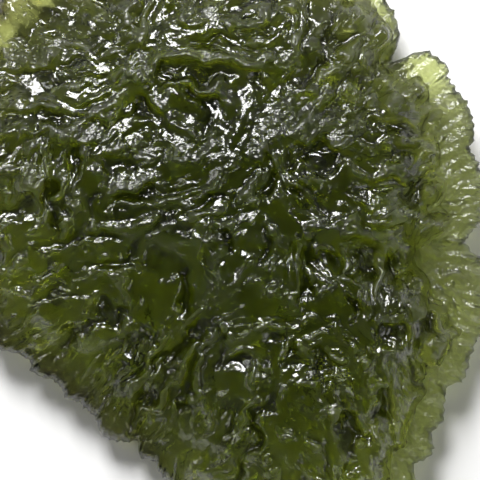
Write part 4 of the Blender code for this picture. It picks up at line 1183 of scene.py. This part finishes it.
        under = octahedron[:, 2] < self.belly_from
        mesh.vertices.foreach_set("select", under)
        mesh.edges.foreach_set("select", self.all_in(mesh.edges, under, 2))
        mesh.polygons.foreach_set("select", self.all_in(mesh.polygons, under, 3))
        bpy.ops.object.mode_set(mode="EDIT")
        bpy.ops.mesh.select_mode(type="FACE")
        bpy.ops.mesh.decimate(ratio=self.belly_share_kept)
        bpy.ops.mesh.select_all(action="SELECT")
        bpy.ops.mesh.quads_convert_to_tris()
        bpy.ops.mesh.normals_make_consistent(inside=False)
        bpy.ops.object.mode_set(mode="OBJECT")
        mesh.shade_smooth()
        return stone

    @staticmethod
    def all_in(pieces: bpy.types.bpy_prop_collection, chosen: np.ndarray, corners: int) -> np.ndarray:
        """Tell for each edge or face whether all its corners are chosen."""
        index = np.empty(len(pieces) * corners, dtype=np.int32)
        pieces.foreach_get("vertices", index)
        return chosen[index.reshape(-1, corners)].all(axis=1)

    def dress(self, stone: bpy.types.Object, glass: MoldaviteGlass) -> None:
        """Give the stone its glass and let it stand for the solid."""
        stone.data.materials.clear()
        stone.data.materials.append(glass.material("moldavite_glass"))
        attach(stone, "root")
        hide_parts(self.node)


@dataclass
class Studio:
    """A plain pale floor, soft light from the upper left and a camera straight above."""

    floor_half: float = 0.6
    floor_tone: tuple[float, float, float] = (0.72, 0.717, 0.711)
    eye_height: float = 0.2
    focal_plane: float = 0.006
    floor_rough: float = 0.9
    dim_sky: float = 0.05
    bright_sky: float = 0.2
    sky_tone: tuple[float, float, float] = (1.0, 1.0, 0.99)
    sky_fade: tuple[float, float] = (0.5, 0.9)
    floor_drop: float = 0.00002

    def floor(self) -> bpy.types.Object:
        """Lay the floor under the stone."""
        bpy.ops.object.select_all(action="DESELECT")
        bpy.ops.mesh.primitive_plane_add(size=2.0 * self.floor_half, location=(0.0, 0.0, -self.floor_drop))
        floor = bpy.context.object
        floor.name = "pale_floor"
        material = bpy.data.materials.new("pale_floor")
        material.use_nodes = True
        shader = material.node_tree.nodes["Principled BSDF"]
        shader.inputs["Base Color"].default_value = (*self.floor_tone, 1.0)
        shader.inputs["Roughness"].default_value = self.floor_rough
        floor.data.materials.append(material)
        return floor

    def softbox(self, name: str, place: tuple[float, float, float], size: float, watts: float) -> None:
        """Hang one square soft light that faces the stone.

        Args:
            name: The light's name.
            place: Its position in metres.
            size: Its side in metres.
            watts: Its power.
        """
        light = bpy.data.lights.new(name, "AREA")
        light.shape = "SQUARE"
        light.size = size
        light.energy = watts
        holder = bpy.data.objects.new(name, light)
        holder.location = place
        holder.rotation_euler = (-Vector(place)).to_track_quat("-Z", "Y").to_euler()
        bpy.context.scene.collection.objects.link(holder)

    def lights(self) -> None:
        """Hang the soft lights and a sky that is dim overhead and brighter low down."""
        for name, place, size, watts in SOFTBOXES:
            self.softbox(name, place, size, watts)
        world = bpy.data.worlds.new("studio")
        bpy.context.scene.world = world
        world.use_nodes = True
        nodes, links = world.node_tree.nodes, world.node_tree.links
        sky = nodes["Background"]
        place = nodes.new("ShaderNodeTexCoord")
        split = nodes.new("ShaderNodeSeparateXYZ")
        links.new(place.outputs["Generated"], split.inputs["Vector"])
        fade = nodes.new("ShaderNodeMapRange")
        fade.interpolation_type = "SMOOTHSTEP"
        fade.inputs["From Min"].default_value = self.sky_fade[0]
        fade.inputs["From Max"].default_value = self.sky_fade[1]
        fade.inputs["To Min"].default_value = self.bright_sky
        fade.inputs["To Max"].default_value = self.dim_sky
        links.new(split.outputs["Z"], fade.inputs["Value"])
        links.new(fade.outputs["Result"], sky.inputs["Strength"])
        sky.inputs["Color"].default_value = (*self.sky_tone, 1.0)

    def camera(self, middle: np.ndarray) -> None:
        """Look straight down at the part of the stone that the photograph shows.

        Args:
            middle: The stone's middle in plan millimetres.
        """
        (mx, my), = plan_mm((VIEW_MIDDLE,))
        lens = bpy.data.cameras.new("camera")
        lens.sensor_width = VIEW_STEPS * PLAN_STEP
        lens.lens = (self.eye_height - self.focal_plane) / MM
        lens.clip_start = 0.01
        eye = bpy.data.objects.new("camera", lens)
        eye.location = ((mx - middle[0]) * MM, (my - middle[1]) * MM, self.eye_height)
        bpy.context.scene.collection.objects.link(eye)
        bpy.context.scene.camera = eye

    def exposure(self) -> None:
        """Let light pass many times through the glass, and keep plain tones."""
        scene = bpy.context.scene
        scene.cycles.max_bounces = 32
        scene.cycles.transmission_bounces = 32
        scene.cycles.glossy_bounces = 16
        scene.cycles.diffuse_bounces = 4
        scene.cycles.sample_clamp_indirect = 2.0
        scene.cycles.blur_glossy = 0.3
        scene.view_settings.view_transform = "Standard"


def main() -> None:
    """Build the stone, set the studio around it and report each piece."""
    logging.basicConfig(level=logging.INFO, format="%(name)s: %(message)s")
    moldavite = Moldavite()
    stone = moldavite.build()
    moldavite.dress(stone, MoldaviteGlass())
    LOG.info("%s: %d triangles", stone.name, len(stone.data.polygons))
    studio = Studio()
    floor = studio.floor()
    studio.lights()
    studio.camera(moldavite.middle)
    studio.exposure()
    LOG.info("%s laid", floor.name)


if __name__ == "__main__":
    main()
